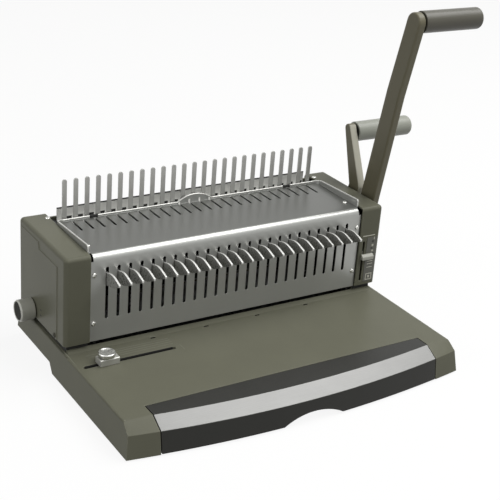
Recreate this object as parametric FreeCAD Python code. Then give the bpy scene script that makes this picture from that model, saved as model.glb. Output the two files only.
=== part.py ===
import FreeCAD, Part
import math
import os

# Comb binding machine with a punch lever, a binding lever and a chip drawer.
# Millimetres, X across (the operator's right is +X), Y to the back, Z up.
# The origin is on the table, mid width, under the front face of the steel cover.

# Comb rule: hole pitch and counts
PITCH = 14.2875
PIN_COUNT = 24
FINGER_COUNT = PIN_COUNT + 1
PUNCH_HALF = PIN_COUNT * PITCH / 2

# Half widths, from the middle outwards
WEB_MARGIN = 4.55
WEB_X = PUNCH_HALF + WEB_MARGIN
COVER_MARGIN = 9.0
COVER_HALF = WEB_X + COVER_MARGIN
END_W = 31.5
END_OUT = COVER_HALF + END_W

# Heights, from the table up
FOOT_H = 2.0
BASE_BOTTOM = FOOT_H
BASE_H = 36.0
BASE_TOP = BASE_BOTTOM + BASE_H
THROAT_H = 8.0
SHEET_BOTTOM = BASE_TOP + THROAT_H
HOUSING_H = 115.0
SHEET_TOP = BASE_TOP + HOUSING_H
END_TOP = SHEET_TOP + 1.5

# Depths, forwards and back from the cover's front face
DECK_D = 157.0
FRONT_TOP_EDGE = -DECK_D
BAND_RUN = 30.0
FRONT_BAND_EDGE = FRONT_TOP_EDGE - BAND_RUN
TOE_RUN = 3.0
FRONT_LOW_EDGE = FRONT_BAND_EDGE - TOE_RUN
SHEET_REAR = 100.0
HOUSING_D = 128.0
END_REAR = HOUSING_D
BASE_REAR = END_REAR + 2.0

# Shared working values: overshoot of cutting tools, running fit of round parts
OVER = 1.0
RUN_FIT = 0.06

# Base
BASE_FLARE = 4.5
BASE_WALL = 3.0
FRONT_TOP_RADIUS = 5580.0
CREASE_OUT = 10.9
CREASE_RADIUS = 1271.0
FRONT_BAND_RADIUS = 1155.0
FRONT_LOW_RADIUS = 1290.0
BAND_FALL = 10.0
BAND_LOW_Z = BASE_TOP - BAND_FALL
DECK_FRONT = FRONT_TOP_EDGE + 21.5
BAY_HALF = COVER_HALF - 1.5
RECESS_H = 10.0
RECESS_FRONT = 20.0
RECESS_RUN = 12.0
RECESS_DEPTH = 10.5
RECESS_INNER = END_OUT - RECESS_DEPTH
EDGE_ROUND = 2.5
WINDOW_COUNT = 4
WINDOW_PITCH = 5 * PITCH
WINDOW_Y = -6.6
WINDOW_W = 6.5
WINDOW_D = 3.0

# Bottom plate and feet
PLATE_T = 2.0
PLATE_GAP = 0.5
PLATE_FRONT = DECK_FRONT + 5.5
FOOT_R = 9.0
FOOT_X = END_OUT - 26.5
FOOT_FRONT = DECK_FRONT + 20.5
FOOT_REAR = END_REAR - 18.0

# Steel cover
SHEET = 1.2
SHEET_BEND = 8.0
SLOT_W = 3.8
SLOT_L = 64.3
TOP_SLOT_W = 3.2
TOP_SLOT_L = 29.5
TOP_SLOT_REAR = SHEET_REAR - 2.5
LIP_FRONT_H = 8.8
LIP_REAR_H = 4.5
LIP_FRONT_Y = SHEET_BEND + 0.3
LIP_CHAMFER = 2.0
REAR_LIP_H = 2.0
ARCH_HALF = 26.0
ARCH_H = 10.0
LIP_NOTCH_X = COVER_HALF - 49.0
LIP_NOTCH_W = 11.0
LIP_NOTCH_D = 2.1
RELIEF_W = 3.6

# End covers and rear panel
END_GAP = 0.4
END_PROUD = 1.0
END_FACE = END_OUT + END_PROUD
END_FRONT = -3.0
END_BACK = END_REAR + 2.0
END_WALL = 2.5
END_ROUND = 5.0
STEP_DEPTH = 0.8
STEP_FRONT_DROP = 16.5
STEP_REAR_DROP = 8.0
STEP_FRONT_Y = 68.0
STEP_RUN = 3.0
PANEL_FRONT_Y = 17.5
PANEL_REAR_GAP = 7.0
SKIRT_GAP = 5.0
SKIRT_IN = 6.0
SHAFT_CLEAR = 2.0
REAR_PANEL_Y = END_REAR - 4.0
REAR_PANEL_TOP = SHEET_TOP - 3.0

# Inner side plates and bushes
WEB_T = 3.0
WEB_REAR = REAR_PANEL_Y
WEB_STEP_Y = SHEET_REAR - 2.0
WEB_STEP_TOP = REAR_PANEL_TOP - 3.0
FLANGE_T = 2.0
FLANGE_OUT = COVER_HALF - 0.5
FLANGE_FOOT_Y = SHEET + FLANGE_T + 4.0
BUSH_WALL = 2.5
BUSH_RIM = 2.0
BUSH_RIM_T = 1.5
SHAFT_END = 4.0

# Die set
DIE_FRONT = 3.0
DIE_REAR = 27.0
DIE_H = 10.0
DIE_HALF = WEB_X - 2.0
DIE_GAP = 0.5
GUIDE_FRONT = 5.0
GUIDE_H = 12.0
GUIDE_TOP = SHEET_BOTTOM + GUIDE_H
SPACER_W = 4.0

# Punch lever
PUNCH_Y = 37.0
PUNCH_Z = SHEET_TOP - 41.0
PUNCH_R = 7.0
PUNCH_GRIP_Y = -11.5
PUNCH_GRIP_Z = SHEET_TOP + 236.3
ARM_IN = END_FACE + 0.8
ARM_T = 11.0
ARM_OUT = ARM_IN + ARM_T
ARM_ROUND = 2.5
PUNCH_HUB_R = 16.0
PUNCH_ARM_LOW_R = 13.7
PUNCH_ELBOW_Y = 9.3
PUNCH_ELBOW_Z = SHEET_TOP + 144.0
PUNCH_ARM_MID_R = 12.6
PUNCH_ARM_TOP_R = 12.2
PUNCH_ARM_BACK = 4.7
GRIP_R = 13.3
GRIP_GAP = 1.0
GRIP_ROUND = 4.0
GRIP_END_WALL = 8.0
COLLAR_R = 11.0
ROD_R = 5.0
PUNCH_GRIP_END = ARM_OUT + 97.0
HUB_CAP_R = 10.0
HUB_CAP_T = 2.5

# Cranks on the punch shaft and the yokes that they drive
CRANK_X = WEB_X - 30.0
CRANK_T = 8.0
CRANK_REACH = 15.7
CRANK_REST_DEG = 35.0
CRANK_HUB_R = PUNCH_R + 3.0
CRANK_END_R = 6.0
ROLLER_R = 5.0
ROLLER_W = 8.0
YOKE_FIT = 0.5
YOKE_WALL = 5.0
YOKE_SIDE_GAP = 0.4
YOKE_SHAFT_GAP = 0.86

# Press bar, pins and springs
PIN_Y = 12.0
PIN_T = 3.0
PIN_W = 8.0
PIN_FIT = 0.15
PIN_TIP = SHEET_BOTTOM + 2.0
PIN_TOP = PUNCH_Z + 19.5
SLOT_HIGH = PUNCH_Z + 24.3
SLOT_LOW = SLOT_HIGH - SLOT_L
NOSE_T = 2.5
NOSE_OUT = 31.5
NOSE_ROOT_H = 15.0
NOSE_ROOT_Z = PUNCH_Z + 9.5
NOSE_CREST_Y = -14.0
NOSE_CREST_Z = NOSE_ROOT_Z + 11.5
NOSE_BELLY_Y = -17.0
NOSE_BELLY_Z = NOSE_ROOT_Z - 4.0
NOSE_TIP_Z = NOSE_ROOT_Z + 4.5
NOSE_TIP_H = 3.0
NOSE_ROUND = 1.2
BAR_HALF = WEB_X - 6.0
BAR_CRANK_GAP = 1.5
BAR_D = PUNCH_Y - CRANK_HUB_R - BAR_CRANK_GAP - PIN_Y - PIN_T / 2
BAR_TOP = PUNCH_Z - 2.5
BAR_H = 13.5
BAR_LOW = BAR_TOP - BAR_H
STRIP_T = 3.0
STRIP_INSET = 1.0
POST_X = WEB_X - 48.0
POST_Y = PIN_Y + PIN_T / 2 + BAR_D / 2 + 1.0
POST_R = 3.0
POST_TOP = BAR_TOP - 1.5
SPRING_R = 5.0
SPRING_WIRE_R = 0.8
SPRING_TURNS = 7

# Rake with the comb hooks
RAKE_Y = 65.0
RAKE_Z = SHEET_TOP - 33.0
RAKE_R = 5.0
HOOK_T = 2.0
HOOK_REACH = 42.9
HOOK_REST_DEG = 49.3
HOOK_HUB_R = RAKE_R + 3.0
HOOK_ROOT_W = 7.2
HOOK_NECK_W = 4.4
HOOK_BARB = 1.6
HOOK_BARB_L = 4.5

# Binding lever and the gear pair
BIND_Y = 80.0
BIND_R = 6.0
BIND_ELBOW_Y = 64.0
BIND_ELBOW_Z = SHEET_TOP + 3.0
BIND_GRIP_Y = 90.5
BIND_GRIP_Z = SHEET_TOP + 67.9
BIND_GRIP_END = ARM_OUT + 94.5
BIND_ARM_LOW_R = 14.0
BIND_ARM_MID_R = 10.5
BIND_ARM_TOP_R = 5.6
BIND_HEAD_UP = 6.0
BIND_ARM_ROUND = 1.5
GEAR_MODULE = 1.25
GEAR_SHAFT_GAP = 0.8
BIND_PITCH_R = 12.5
BIND_TEETH = int(2 * BIND_PITCH_R / GEAR_MODULE)
RAKE_TIP_R = math.hypot(RAKE_Y - PUNCH_Y, RAKE_Z - PUNCH_Z) - PUNCH_R - GEAR_SHAFT_GAP
RAKE_TEETH = int(2 * (RAKE_TIP_R - GEAR_MODULE) / GEAR_MODULE)
GEAR_X = WEB_X + WEB_T + 7.0
GEAR_T = 7.0
GEAR_BACKLASH = 0.25
GEAR_ROOT = 1.25
PRESSURE_DEG = 20.0
GEAR_CENTRES = GEAR_MODULE * (BIND_TEETH + RAKE_TEETH) / 2
BIND_TIP_R = GEAR_MODULE * (BIND_TEETH / 2 + 1)
BIND_Z = RAKE_Z - math.sqrt(GEAR_CENTRES ** 2 - (BIND_Y - RAKE_Y) ** 2)
BRACKET_X = GEAR_X + GEAR_T + 4.0
BRACKET_T = 2.5
BRACKET_EDGE = 5.0
BRACKET_POST_R = 4.0
BRACKET_FRONT_Y = 52.0
BRACKET_REAR_Y = BIND_Y + BIND_TIP_R
BRACKET_LOW_Z = BIND_Z - BIND_TIP_R - 2.0
BRACKET_HIGH_Z = RAKE_Z + 18.0

# Comb fingers, rear strip and trough
FINGER_Y = SHEET_REAR + 3.0
FINGER_T = 1.8
FINGER_W = 5.8
FINGER_TOP = SHEET_TOP + 50.5
TROUGH_Z = SHEET_TOP - 7.0
FINGER_LOW = TROUGH_Z - 18.0
FINGER_BAR_T = 3.0
STRIP_Y = FINGER_Y + 15.0
STRIP_SHEET = 1.5
STRIP_TOP = SHEET_TOP + 10.0
STRIP_HALF = WEB_X - 1.3

# Depth knob, its eccentrics and the stop plate
DEPTH_Y = 86.0
DEPTH_Z = BASE_TOP + 17.5
DEPTH_R = 4.0
KNOB_R = 13.0
KNOB_IN = END_FACE + 1.0
KNOB_L = 18.5
KNOB_OUT = KNOB_IN + KNOB_L
KNOB_FACE_T = 4.0
KNOB_ROUND = 1.2
ECC_X = WEB_X - 56.0
ECC_T = 8.0
ECC_R = 8.0
ECC_OFF = 3.0
ECC_FIT = 0.4
STOP_HALF = WEB_X - 16.0
STOP_FRONT = 17.0
STOP_REAR = DEPTH_Y + 14.0
STOP_T = 3.0
STOP_FIT = 0.15
EAR_TOP = DEPTH_Z + 7.0
EAR_T = 3.0

# Comb size selector on the right end cover
SEL_SLOT_X = COVER_HALF + 7.6
SEL_SLOT_W = 3.2
SEL_SLOT_LOW = BASE_TOP + 15.0
SEL_SLOT_H = 55.0
SEL_SLOT_HIGH = SEL_SLOT_LOW + SEL_SLOT_H
SEL_Z = SEL_SLOT_LOW + 34.5
SEL_STEM_H = 5.0
SEL_TAB_IN = COVER_HALF + 4.0
SEL_TAB_OUT = END_OUT - 4.5
SEL_TAB_H = 7.0
SEL_TAB_D = 5.5
SEL_TAB_SLOPE = 2.8
SEL_KEEPER_HALF = 5.0
SEL_KEEPER_T = 1.5
SEL_KEEPER_RISE = 4.0
SEL_FIT = 0.2
SCALE_IN = SEL_SLOT_X + 4.4
SCALE_OUT = END_OUT - 3.5
SCALE_T = 0.4
SCALE_LOW = SEL_SLOT_LOW - 2.0
SCALE_HIGH = SEL_SLOT_HIGH + 5.0

# Edge guide and thumb screw on the deck
GUIDE_SLOT_LEFT = 7.5 - END_OUT
GUIDE_SLOT_L = 115.0
GUIDE_SLOT_RIGHT = GUIDE_SLOT_LEFT + GUIDE_SLOT_L
GUIDE_SLOT_Y = -38.0
GUIDE_SLOT_W = 5.4
EDGE_X = GUIDE_SLOT_LEFT + 28.0
EDGE_HALF = 14.0
EDGE_D = 14.0
EDGE_H = 8.0
EDGE_FIT = 0.2
EDGE_TOP_ROUND = 1.5
TONGUE_HALF = 8.0
CLAMP_T = 3.2
CLAMP_HALF = 11.0
SCREW_R = 2.5
SCREW_TAIL = 1.5
SCREW_COLLAR_H = 1.0
SCREW_KNOB_R = 10.5
SCREW_KNOB_T = 5.0
SCREW_ROUND = 1.0
SCREW_DISH = 1.2
SCREW_RIM = 3.0
SCREW_RIBS = 28
SCREW_RIB_R = 0.7
SCREW_RIB_OUT = 0.3

# Chip drawer
DRAWER_HALF = BAY_HALF - 1.0
DRAWER_LOW = BASE_BOTTOM + 0.6
DRAWER_REAR = DECK_FRONT - 0.5
DRAWER_SKIN = 7.0
DRAWER_INNER = DRAWER_HALF - 4.5
BAND_T = 1.5
BAND_FIT = 0.05
FINGER_ARCH_HALF = 39.0
FINGER_ARCH_H = 10.5
TRAY_HALF = DRAWER_HALF - 2.5
TRAY_REAR = 64.0
TRAY_LOW = BASE_BOTTOM + PLATE_T + 0.6
TRAY_TOP = BASE_TOP - DIE_H - 1.0
TRAY_WALL = 2.0

# Screws
SCREW_HEAD_R = 3.0
SCREW_HEAD_H = 1.5
FRONT_SCREW_X = COVER_HALF - 4.6
FRONT_SCREW_LOW = SHEET_BOTTOM + 22.5
FRONT_SCREW_HIGH = SHEET_TOP - 24.5
TOP_SCREW_X = COVER_HALF - 8.0
TOP_SCREW_Y = 26.0
REAR_SCREW_X = COVER_HALF + 3.5
REAR_SCREW_Y = END_REAR - 16.0
SIDE_SCREW_Y = PANEL_FRONT_Y + 5.0
SIDE_SCREW_Z = BASE_TOP + 13.0
PANEL_SCREW_X = COVER_HALF - 14.0
PANEL_SCREW_IN = 12.0
PLATE_SCREW_X = END_OUT - 48.0
PLATE_SCREW_H = 1.2
PLATE_SCREW_IN = 9.0

ORIGIN = FreeCAD.Vector(0, 0, 0)
AXIS_X = FreeCAD.Vector(1, 0, 0)
AXIS_Y = FreeCAD.Vector(0, 1, 0)
AXIS_Z = FreeCAD.Vector(0, 0, 1)
STATIONS = (-1.0, -0.7, -0.35, 0.0, 0.35, 0.7, 1.0)
NEAR = 0.01


def save(name, shape):
    """Write one node as a STEP file."""
    shape.exportStep("parts/" + name + ".step")


def box(x0, x1, y0, y1, z0, z1):
    """A block between two corners."""
    return Part.makeBox(x1 - x0, y1 - y0, z1 - z0, FreeCAD.Vector(x0, y0, z0))


def rod_x(y, z, r, x0, x1):
    """A round bar along X."""
    return Part.makeCylinder(r, x1 - x0, FreeCAD.Vector(x0, y, z), AXIS_X)


def rod_y(x, z, r, y0, y1):
    """A round bar along Y."""
    return Part.makeCylinder(r, y1 - y0, FreeCAD.Vector(x, y0, z), AXIS_Y)


def rod_z(x, y, r, z0, z1):
    """A round bar along Z."""
    return Part.makeCylinder(r, z1 - z0, FreeCAD.Vector(x, y, z0), AXIS_Z)


def prism_x(points, x0, x1):
    """A polygon of (y, z) points run along X."""
    loop = [FreeCAD.Vector(x0, y, z) for y, z in points]
    face = Part.Face(Part.makePolygon(loop + loop[:1]))
    return face.extrude(FreeCAD.Vector(x1 - x0, 0, 0))


def prism_z(points, z0, z1):
    """A polygon of (x, y) points run along Z."""
    loop = [FreeCAD.Vector(x, y, z0) for x, y in points]
    face = Part.Face(Part.makePolygon(loop + loop[:1]))
    return face.extrude(FreeCAD.Vector(0, 0, z1 - z0))


def link_x(y0, z0, r0, y1, z1, r1, x0, x1):
    """A flat link along X: two round ends joined by their common tangents."""
    span = math.hypot(y1 - y0, z1 - z0)
    heading = math.atan2(z1 - z0, y1 - y0)
    lean = math.acos((r0 - r1) / span)
    side = [(y0 + r0 * math.cos(heading + lean), z0 + r0 * math.sin(heading + lean)),
            (y1 + r1 * math.cos(heading + lean), z1 + r1 * math.sin(heading + lean)),
            (y1 + r1 * math.cos(heading - lean), z1 + r1 * math.sin(heading - lean)),
            (y0 + r0 * math.cos(heading - lean), z0 + r0 * math.sin(heading - lean))]
    whole = rod_x(y0, z0, r0, x0, x1).fuse([rod_x(y1, z1, r1, x0, x1), prism_x(side, x0, x1)])
    return whole.removeSplitter()


def both_sides(shape):
    """A shape and its mirror image across the machine's middle."""
    return [shape, shape.mirror(ORIGIN, AXIS_X)]


def pin_x(index):
    """Middle of one pin, slot or hook across the machine."""
    return (index - (PIN_COUNT - 1) / 2) * PITCH


def finger_x(index):
    """Middle of one comb finger across the machine."""
    return (index - (FINGER_COUNT - 1) / 2) * PITCH


def top_edge(x):
    """Front edge of the deck plane."""
    return FRONT_TOP_EDGE + x * x / (2 * FRONT_TOP_RADIUS)


def crease_edge(x):
    """Upper edge of the drawer's sloped band, bowed like its foot."""
    return FRONT_TOP_EDGE - CREASE_OUT + x * x / (2 * CREASE_RADIUS)


def band_edge(x):
    """Foot of the sloped band."""
    return FRONT_BAND_EDGE + x * x / (2 * FRONT_BAND_RADIUS)


def low_edge(x):
    """Lowest front edge."""
    return FRONT_LOW_EDGE + x * x / (2 * FRONT_LOW_RADIUS)


def loft(half, profile):
    """A solid through the (y, z) profiles found at stations across the machine."""
    wires = []
    for share in STATIONS:
        x = share * half
        loop = [FreeCAD.Vector(x, y, z) for y, z in profile(x)]
        wires.append(Part.makePolygon(loop + loop[:1]))
    return Part.makeLoft(wires, True, False)


def round_edges(shape, radius, wanted):
    """Round the straight edges whose middle point and direction the test accepts."""
    picked = []
    for edge in shape.Edges:
        middle = edge.CenterOfMass
        run = edge.Vertexes[-1].Point.sub(edge.Vertexes[0].Point)
        if wanted(middle, run):
            picked.append(edge)
    return shape.makeFillet(radius, picked)


def flared_side():
    """Wedge that slopes one side of the base outwards towards the table."""
    ahead = FRONT_LOW_EDGE - OVER
    low_x = END_OUT + BASE_FLARE
    loop = [FreeCAD.Vector(low_x, ahead, BASE_BOTTOM), FreeCAD.Vector(END_OUT, ahead, BASE_TOP),
            FreeCAD.Vector(low_x + OVER, ahead, BASE_TOP), FreeCAD.Vector(low_x + OVER, ahead, BASE_BOTTOM)]
    face = Part.Face(Part.makePolygon(loop + loop[:1]))
    return face.extrude(FreeCAD.Vector(0, BASE_REAR + OVER - ahead, 0))


def deck_slot():
    """Round-ended slot in the deck that the edge guide slides in."""
    r = GUIDE_SLOT_W / 2
    low = BASE_TOP - BASE_WALL - OVER
    high = BASE_TOP + OVER
    left = GUIDE_SLOT_LEFT + r
    right = GUIDE_SLOT_RIGHT - r
    return [box(left, right, GUIDE_SLOT_Y - r, GUIDE_SLOT_Y + r, low, high),
            rod_z(left, GUIDE_SLOT_Y, r, low, high),
            rod_z(right, GUIDE_SLOT_Y, r, low, high)]


def base_shell():
    """Plastic base: paper deck on top, bay for the chip drawer below."""
    def profile(x):
        return [(BASE_REAR, BASE_BOTTOM), (BASE_REAR, BASE_TOP), (top_edge(x), BASE_TOP),
                (band_edge(x), BAND_LOW_Z), (low_edge(x), BASE_BOTTOM)]
    body = loft(END_OUT + BASE_FLARE, profile).cut(both_sides(flared_side()))
    body = round_edges(body, EDGE_ROUND, lambda m, run: abs(m.z - BASE_TOP) < NEAR
                       and abs(m.x) > BAY_HALF and abs(run.y) > abs(run.x))
    ahead = FRONT_LOW_EDGE - OVER
    behind = BASE_REAR + OVER
    below = BASE_BOTTOM - OVER
    above = BASE_TOP + OVER
    inner_rear = BASE_REAR - BASE_WALL
    deck_low = BASE_TOP - BASE_WALL
    rib = BAY_HALF + BASE_WALL
    pocket = box(rib, END_OUT - BASE_WALL, top_edge(END_OUT) + BASE_WALL, inner_rear, below, deck_low)
    recess_top = BASE_BOTTOM + RECESS_H
    recess_loop = [(RECESS_FRONT, below), (RECESS_FRONT + RECESS_RUN, recess_top), (behind, recess_top),
                   (behind, below)]
    recess = prism_x(recess_loop, RECESS_INNER, END_OUT + BASE_FLARE + OVER)
    die_slot = DIE_HALF + DIE_GAP
    clamp_low = deck_low - EDGE_FIT - CLAMP_T - SCREW_TAIL - OVER
    cuts = both_sides(pocket) + both_sides(recess) + deck_slot()
    cuts += [
        box(-BAY_HALF, BAY_HALF, ahead, inner_rear, below, deck_low),
        box(-BAY_HALF, BAY_HALF, ahead, DECK_FRONT, below, above),
        box(-RECESS_INNER, RECESS_INNER, PLATE_FRONT, inner_rear, below, BASE_BOTTOM + PLATE_T),
        box(-die_slot, die_slot, DIE_FRONT - DIE_GAP, DIE_REAR + DIE_GAP, deck_low - OVER, above),
        box(-rib - OVER, OVER - BAY_HALF, GUIDE_SLOT_Y - EDGE_D, GUIDE_SLOT_Y + EDGE_D, clamp_low, deck_low),
    ]
    for step in range(WINDOW_COUNT):
        x = (step - (WINDOW_COUNT - 1) / 2) * WINDOW_PITCH
        cuts.append(box(x - WINDOW_W / 2, x + WINDOW_W / 2, WINDOW_Y - WINDOW_D / 2,
                        WINDOW_Y + WINDOW_D / 2, deck_low - OVER, above))
    return body.cut(cuts)


def bottom_plate():
    """Sheet that closes the base from below and carries the drawer."""
    half = RECESS_INNER - PLATE_GAP
    return box(-half, half, PLATE_FRONT + PLATE_GAP, BASE_REAR - BASE_WALL - PLATE_GAP,
               BASE_BOTTOM, BASE_BOTTOM + PLATE_T)


def rubber_feet():
    """Four corner feet and one under the punch line, which takes the load of a punch stroke."""
    feet = [rod_z(0, 0, FOOT_R, 0, BASE_BOTTOM)]
    for x in (-FOOT_X, FOOT_X):
        for y in (FOOT_FRONT, FOOT_REAR):
            feet.append(rod_z(x, y, FOOT_R, 0, BASE_BOTTOM))
    return Part.makeCompound(feet)


def bent_sheet():
    """Front and top of the steel cover, one bend between them."""
    under = SHEET_TOP - SHEET
    shoulder = SHEET_TOP - SHEET_BEND
    share = 1 - math.sqrt(0.5)
    mid = SHEET_BEND * share
    mid_in = SHEET + (SHEET_BEND - SHEET) * share

    def at(y, z):
        return FreeCAD.Vector(-COVER_HALF, y, z)
    outer_arc = Part.Arc(at(0, shoulder), at(mid, SHEET_TOP - mid), at(SHEET_BEND, SHEET_TOP))
    inner_arc = Part.Arc(at(SHEET_BEND, under), at(mid_in, SHEET_TOP - mid_in), at(SHEET, shoulder))
    edges = [Part.LineSegment(at(0, SHEET_BOTTOM), at(0, shoulder)).toShape(),
             outer_arc.toShape(),
             Part.LineSegment(at(SHEET_BEND, SHEET_TOP), at(SHEET_REAR, SHEET_TOP)).toShape(),
             Part.LineSegment(at(SHEET_REAR, SHEET_TOP), at(SHEET_REAR, under)).toShape(),
             Part.LineSegment(at(SHEET_REAR, under), at(SHEET_BEND, under)).toShape(),
             inner_arc.toShape(),
             Part.LineSegment(at(SHEET, shoulder), at(SHEET, SHEET_BOTTOM)).toShape(),
             Part.LineSegment(at(SHEET, SHEET_BOTTOM), at(0, SHEET_BOTTOM)).toShape()]
    return Part.Face(Part.Wire(edges)).extrude(FreeCAD.Vector(2 * COVER_HALF, 0, 0))


def cover_lips():
    """Upturned lips of the steel cover: two sides, a low rear one and its middle arch."""
    under = SHEET_TOP - SHEET
    lip_rear = SHEET_REAR - SHEET
    crest = SHEET_TOP + LIP_FRONT_H
    side_loop = [(LIP_FRONT_Y, under), (LIP_FRONT_Y, crest - LIP_CHAMFER),
                 (LIP_FRONT_Y + LIP_CHAMFER, crest), (lip_rear, SHEET_TOP + LIP_REAR_H),
                 (SHEET_REAR, SHEET_TOP + REAR_LIP_H),
                 (SHEET_REAR, under)]
    side = prism_x(side_loop, COVER_HALF - SHEET, COVER_HALF)
    rear = box(-COVER_HALF, COVER_HALF, lip_rear, SHEET_REAR, under, SHEET_TOP + REAR_LIP_H)
    arch_r = (ARCH_HALF ** 2 + ARCH_H ** 2) / (2 * ARCH_H)
    arch = rod_y(0, SHEET_TOP + ARCH_H - arch_r, arch_r, lip_rear, SHEET_REAR)
    arch = arch.common(box(-ARCH_HALF, ARCH_HALF, lip_rear, SHEET_REAR, under, SHEET_TOP + ARCH_H))
    return both_sides(side) + [rear, arch]


def cover_slots(x):
    """Front slot and top slot of one pin place."""
    under = SHEET_TOP - SHEET
    front_r = SLOT_W / 2
    top_r = TOP_SLOT_W / 2
    top_front = TOP_SLOT_REAR - TOP_SLOT_L + top_r
    cuts = [box(x - front_r, x + front_r, -OVER, SHEET + OVER, SLOT_LOW + front_r, SLOT_HIGH - front_r),
            rod_y(x, SLOT_LOW + front_r, front_r, -OVER, SHEET + OVER),
            rod_y(x, SLOT_HIGH - front_r, front_r, -OVER, SHEET + OVER),
            box(x - top_r, x + top_r, top_front, TOP_SLOT_REAR, under - OVER, SHEET_TOP + OVER),
            rod_z(x, top_front, top_r, under - OVER, SHEET_TOP + OVER)]
    if abs(x) < ARCH_HALF:
        cuts.append(box(x - top_r, x + top_r, TOP_SLOT_REAR - OVER, SHEET_REAR + OVER, under - OVER,
                        SHEET_TOP + ARCH_H / 2))
    return cuts


def steel_cover():
    """One bent sheet: slotted front and top, lips on three sides, reliefs where they meet the bend."""
    sheet = bent_sheet().fuse(cover_lips()).removeSplitter()
    cuts = []
    for index in range(PIN_COUNT):
        cuts += cover_slots(pin_x(index))
    notch = box(LIP_NOTCH_X - LIP_NOTCH_W / 2, LIP_NOTCH_X + LIP_NOTCH_W / 2, SHEET_REAR - LIP_NOTCH_D,
                SHEET_REAR + OVER, SHEET_TOP - SHEET - OVER, SHEET_TOP + REAR_LIP_H + OVER)
    relief = box(COVER_HALF - RELIEF_W, COVER_HALF + OVER, -OVER, LIP_FRONT_Y, SHEET_TOP - SHEET_BEND,
                 SHEET_TOP + OVER)
    return sheet.cut(cuts + both_sides(notch) + both_sides(relief))


def end_cover(sign):
    """Hollow plastic end cover with a raised side panel, on a set-back plinth. Sign +1 is the lever side."""
    inner = COVER_HALF + END_GAP
    outer = END_FACE - STEP_DEPTH
    body = box(inner, outer, END_FRONT, END_BACK, BASE_TOP, END_TOP)
    body = round_edges(body, END_ROUND, lambda m, run: (abs(m.z - END_TOP) < NEAR and m.x > inner + NEAR)
                       or (abs(m.x - outer) < NEAR and abs(run.z) > END_ROUND))
    step_front = END_TOP - STEP_FRONT_DROP
    step_rear = END_TOP - STEP_REAR_DROP
    below = BASE_TOP - OVER
    ahead = END_FRONT - OVER
    wall_front = END_FRONT + END_WALL
    plinth_front = END_FRONT + SKIRT_IN
    panel_rear = END_BACK - PANEL_REAR_GAP
    step_turn = STEP_FRONT_Y + STEP_RUN
    panel_loop = [(PANEL_FRONT_Y, BASE_TOP), (panel_rear, BASE_TOP), (panel_rear, step_rear),
                  (step_turn, step_rear), (STEP_FRONT_Y, step_front), (PANEL_FRONT_Y, step_front)]
    body = body.fuse(prism_x(panel_loop, outer - OVER, END_FACE)).removeSplitter()
    wall_in = END_FACE - END_WALL
    skirt = BASE_TOP + SKIRT_GAP
    plinth = END_FACE - SKIRT_IN
    ledge = skirt + END_WALL
    cuts = [box(inner - OVER, END_FACE + OVER, ahead, plinth_front, below, skirt),
            box(plinth, END_FACE + OVER, ahead, END_BACK + OVER, below, skirt),
            box(inner - OVER, wall_in, wall_front, END_BACK - END_WALL, ledge, END_TOP - END_WALL),
            box(inner - OVER, plinth - END_WALL, plinth_front + END_WALL, END_BACK - END_WALL, below,
                ledge + OVER)]
    if sign > 0:
        slot_r = SEL_SLOT_W / 2
        cuts += [rod_x(PUNCH_Y, PUNCH_Z, PUNCH_R + SHAFT_CLEAR, wall_in - OVER, END_FACE + OVER),
                 rod_x(BIND_Y, BIND_Z, BIND_R + SHAFT_CLEAR, wall_in - OVER, END_FACE + OVER),
                 box(SEL_SLOT_X - slot_r, SEL_SLOT_X + slot_r, ahead, wall_front + OVER, SEL_SLOT_LOW,
                     SEL_SLOT_HIGH)]
    else:
        cuts.append(rod_x(DEPTH_Y, DEPTH_Z, DEPTH_R + SHAFT_CLEAR, wall_in - OVER, END_FACE + OVER))
    body = body.cut(cuts)
    if sign < 0:
        body = body.mirror(ORIGIN, AXIS_X)
    return body


def rear_panel():
    """Plastic wall across the back between the end covers."""
    return box(-COVER_HALF, COVER_HALF, REAR_PANEL_Y, REAR_PANEL_Y + END_WALL, BASE_TOP, REAR_PANEL_TOP)


def shaft_places(sign):
    """Shafts that one side plate carries: y, z and shaft radius."""
    places = [(PUNCH_Y, PUNCH_Z, PUNCH_R), (RAKE_Y, RAKE_Z, RAKE_R), (DEPTH_Y, DEPTH_Z, DEPTH_R)]
    if sign > 0:
        places.append((BIND_Y, BIND_Z, BIND_R))
    return places


def side_plate(sign):
    """Steel web with flanges for the cover's front screws and the deck."""
    under = SHEET_TOP - SHEET
    shoulder = SHEET_TOP - SHEET_BEND
    x0 = WEB_X - OVER
    x1 = WEB_X + WEB_T + OVER
    web = box(WEB_X, WEB_X + WEB_T, SHEET + FLANGE_T, WEB_REAR, BASE_TOP, under)
    web = web.cut([box(x0, x1, WEB_STEP_Y, WEB_REAR + OVER, WEB_STEP_TOP, under + OVER),
                   box(x0, x1, 0, SHEET_BEND, shoulder, under + OVER)])
    front = box(WEB_X, FLANGE_OUT, SHEET, SHEET + FLANGE_T, SHEET_BOTTOM, shoulder - FLANGE_T)
    foot = box(WEB_X, FLANGE_OUT, FLANGE_FOOT_Y, WEB_REAR, BASE_TOP, BASE_TOP + FLANGE_T)
    plate = web.fuse([front, foot]).removeSplitter()
    plate = plate.cut([rod_x(y, z, bush_r(r), x0, x1) for y, z, r in shaft_places(sign)])
    if sign < 0:
        plate = plate.mirror(ORIGIN, AXIS_X)
    return plate


def bush_r(shaft_r):
    """Outer radius of the bush on a shaft."""
    return shaft_r + RUN_FIT + BUSH_WALL


def bush(y, z, r, x0, x1):
    """Flanged bronze bush; the flange lies on the inner face of its plate."""
    body = rod_x(y, z, bush_r(r), x0, x1)
    flange = rod_x(y, z, bush_r(r) + BUSH_RIM, x0 - BUSH_RIM_T, x0)
    return body.fuse(flange).cut(rod_x(y, z, r + RUN_FIT, x0 - BUSH_RIM_T - OVER, x1 + OVER))


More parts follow.
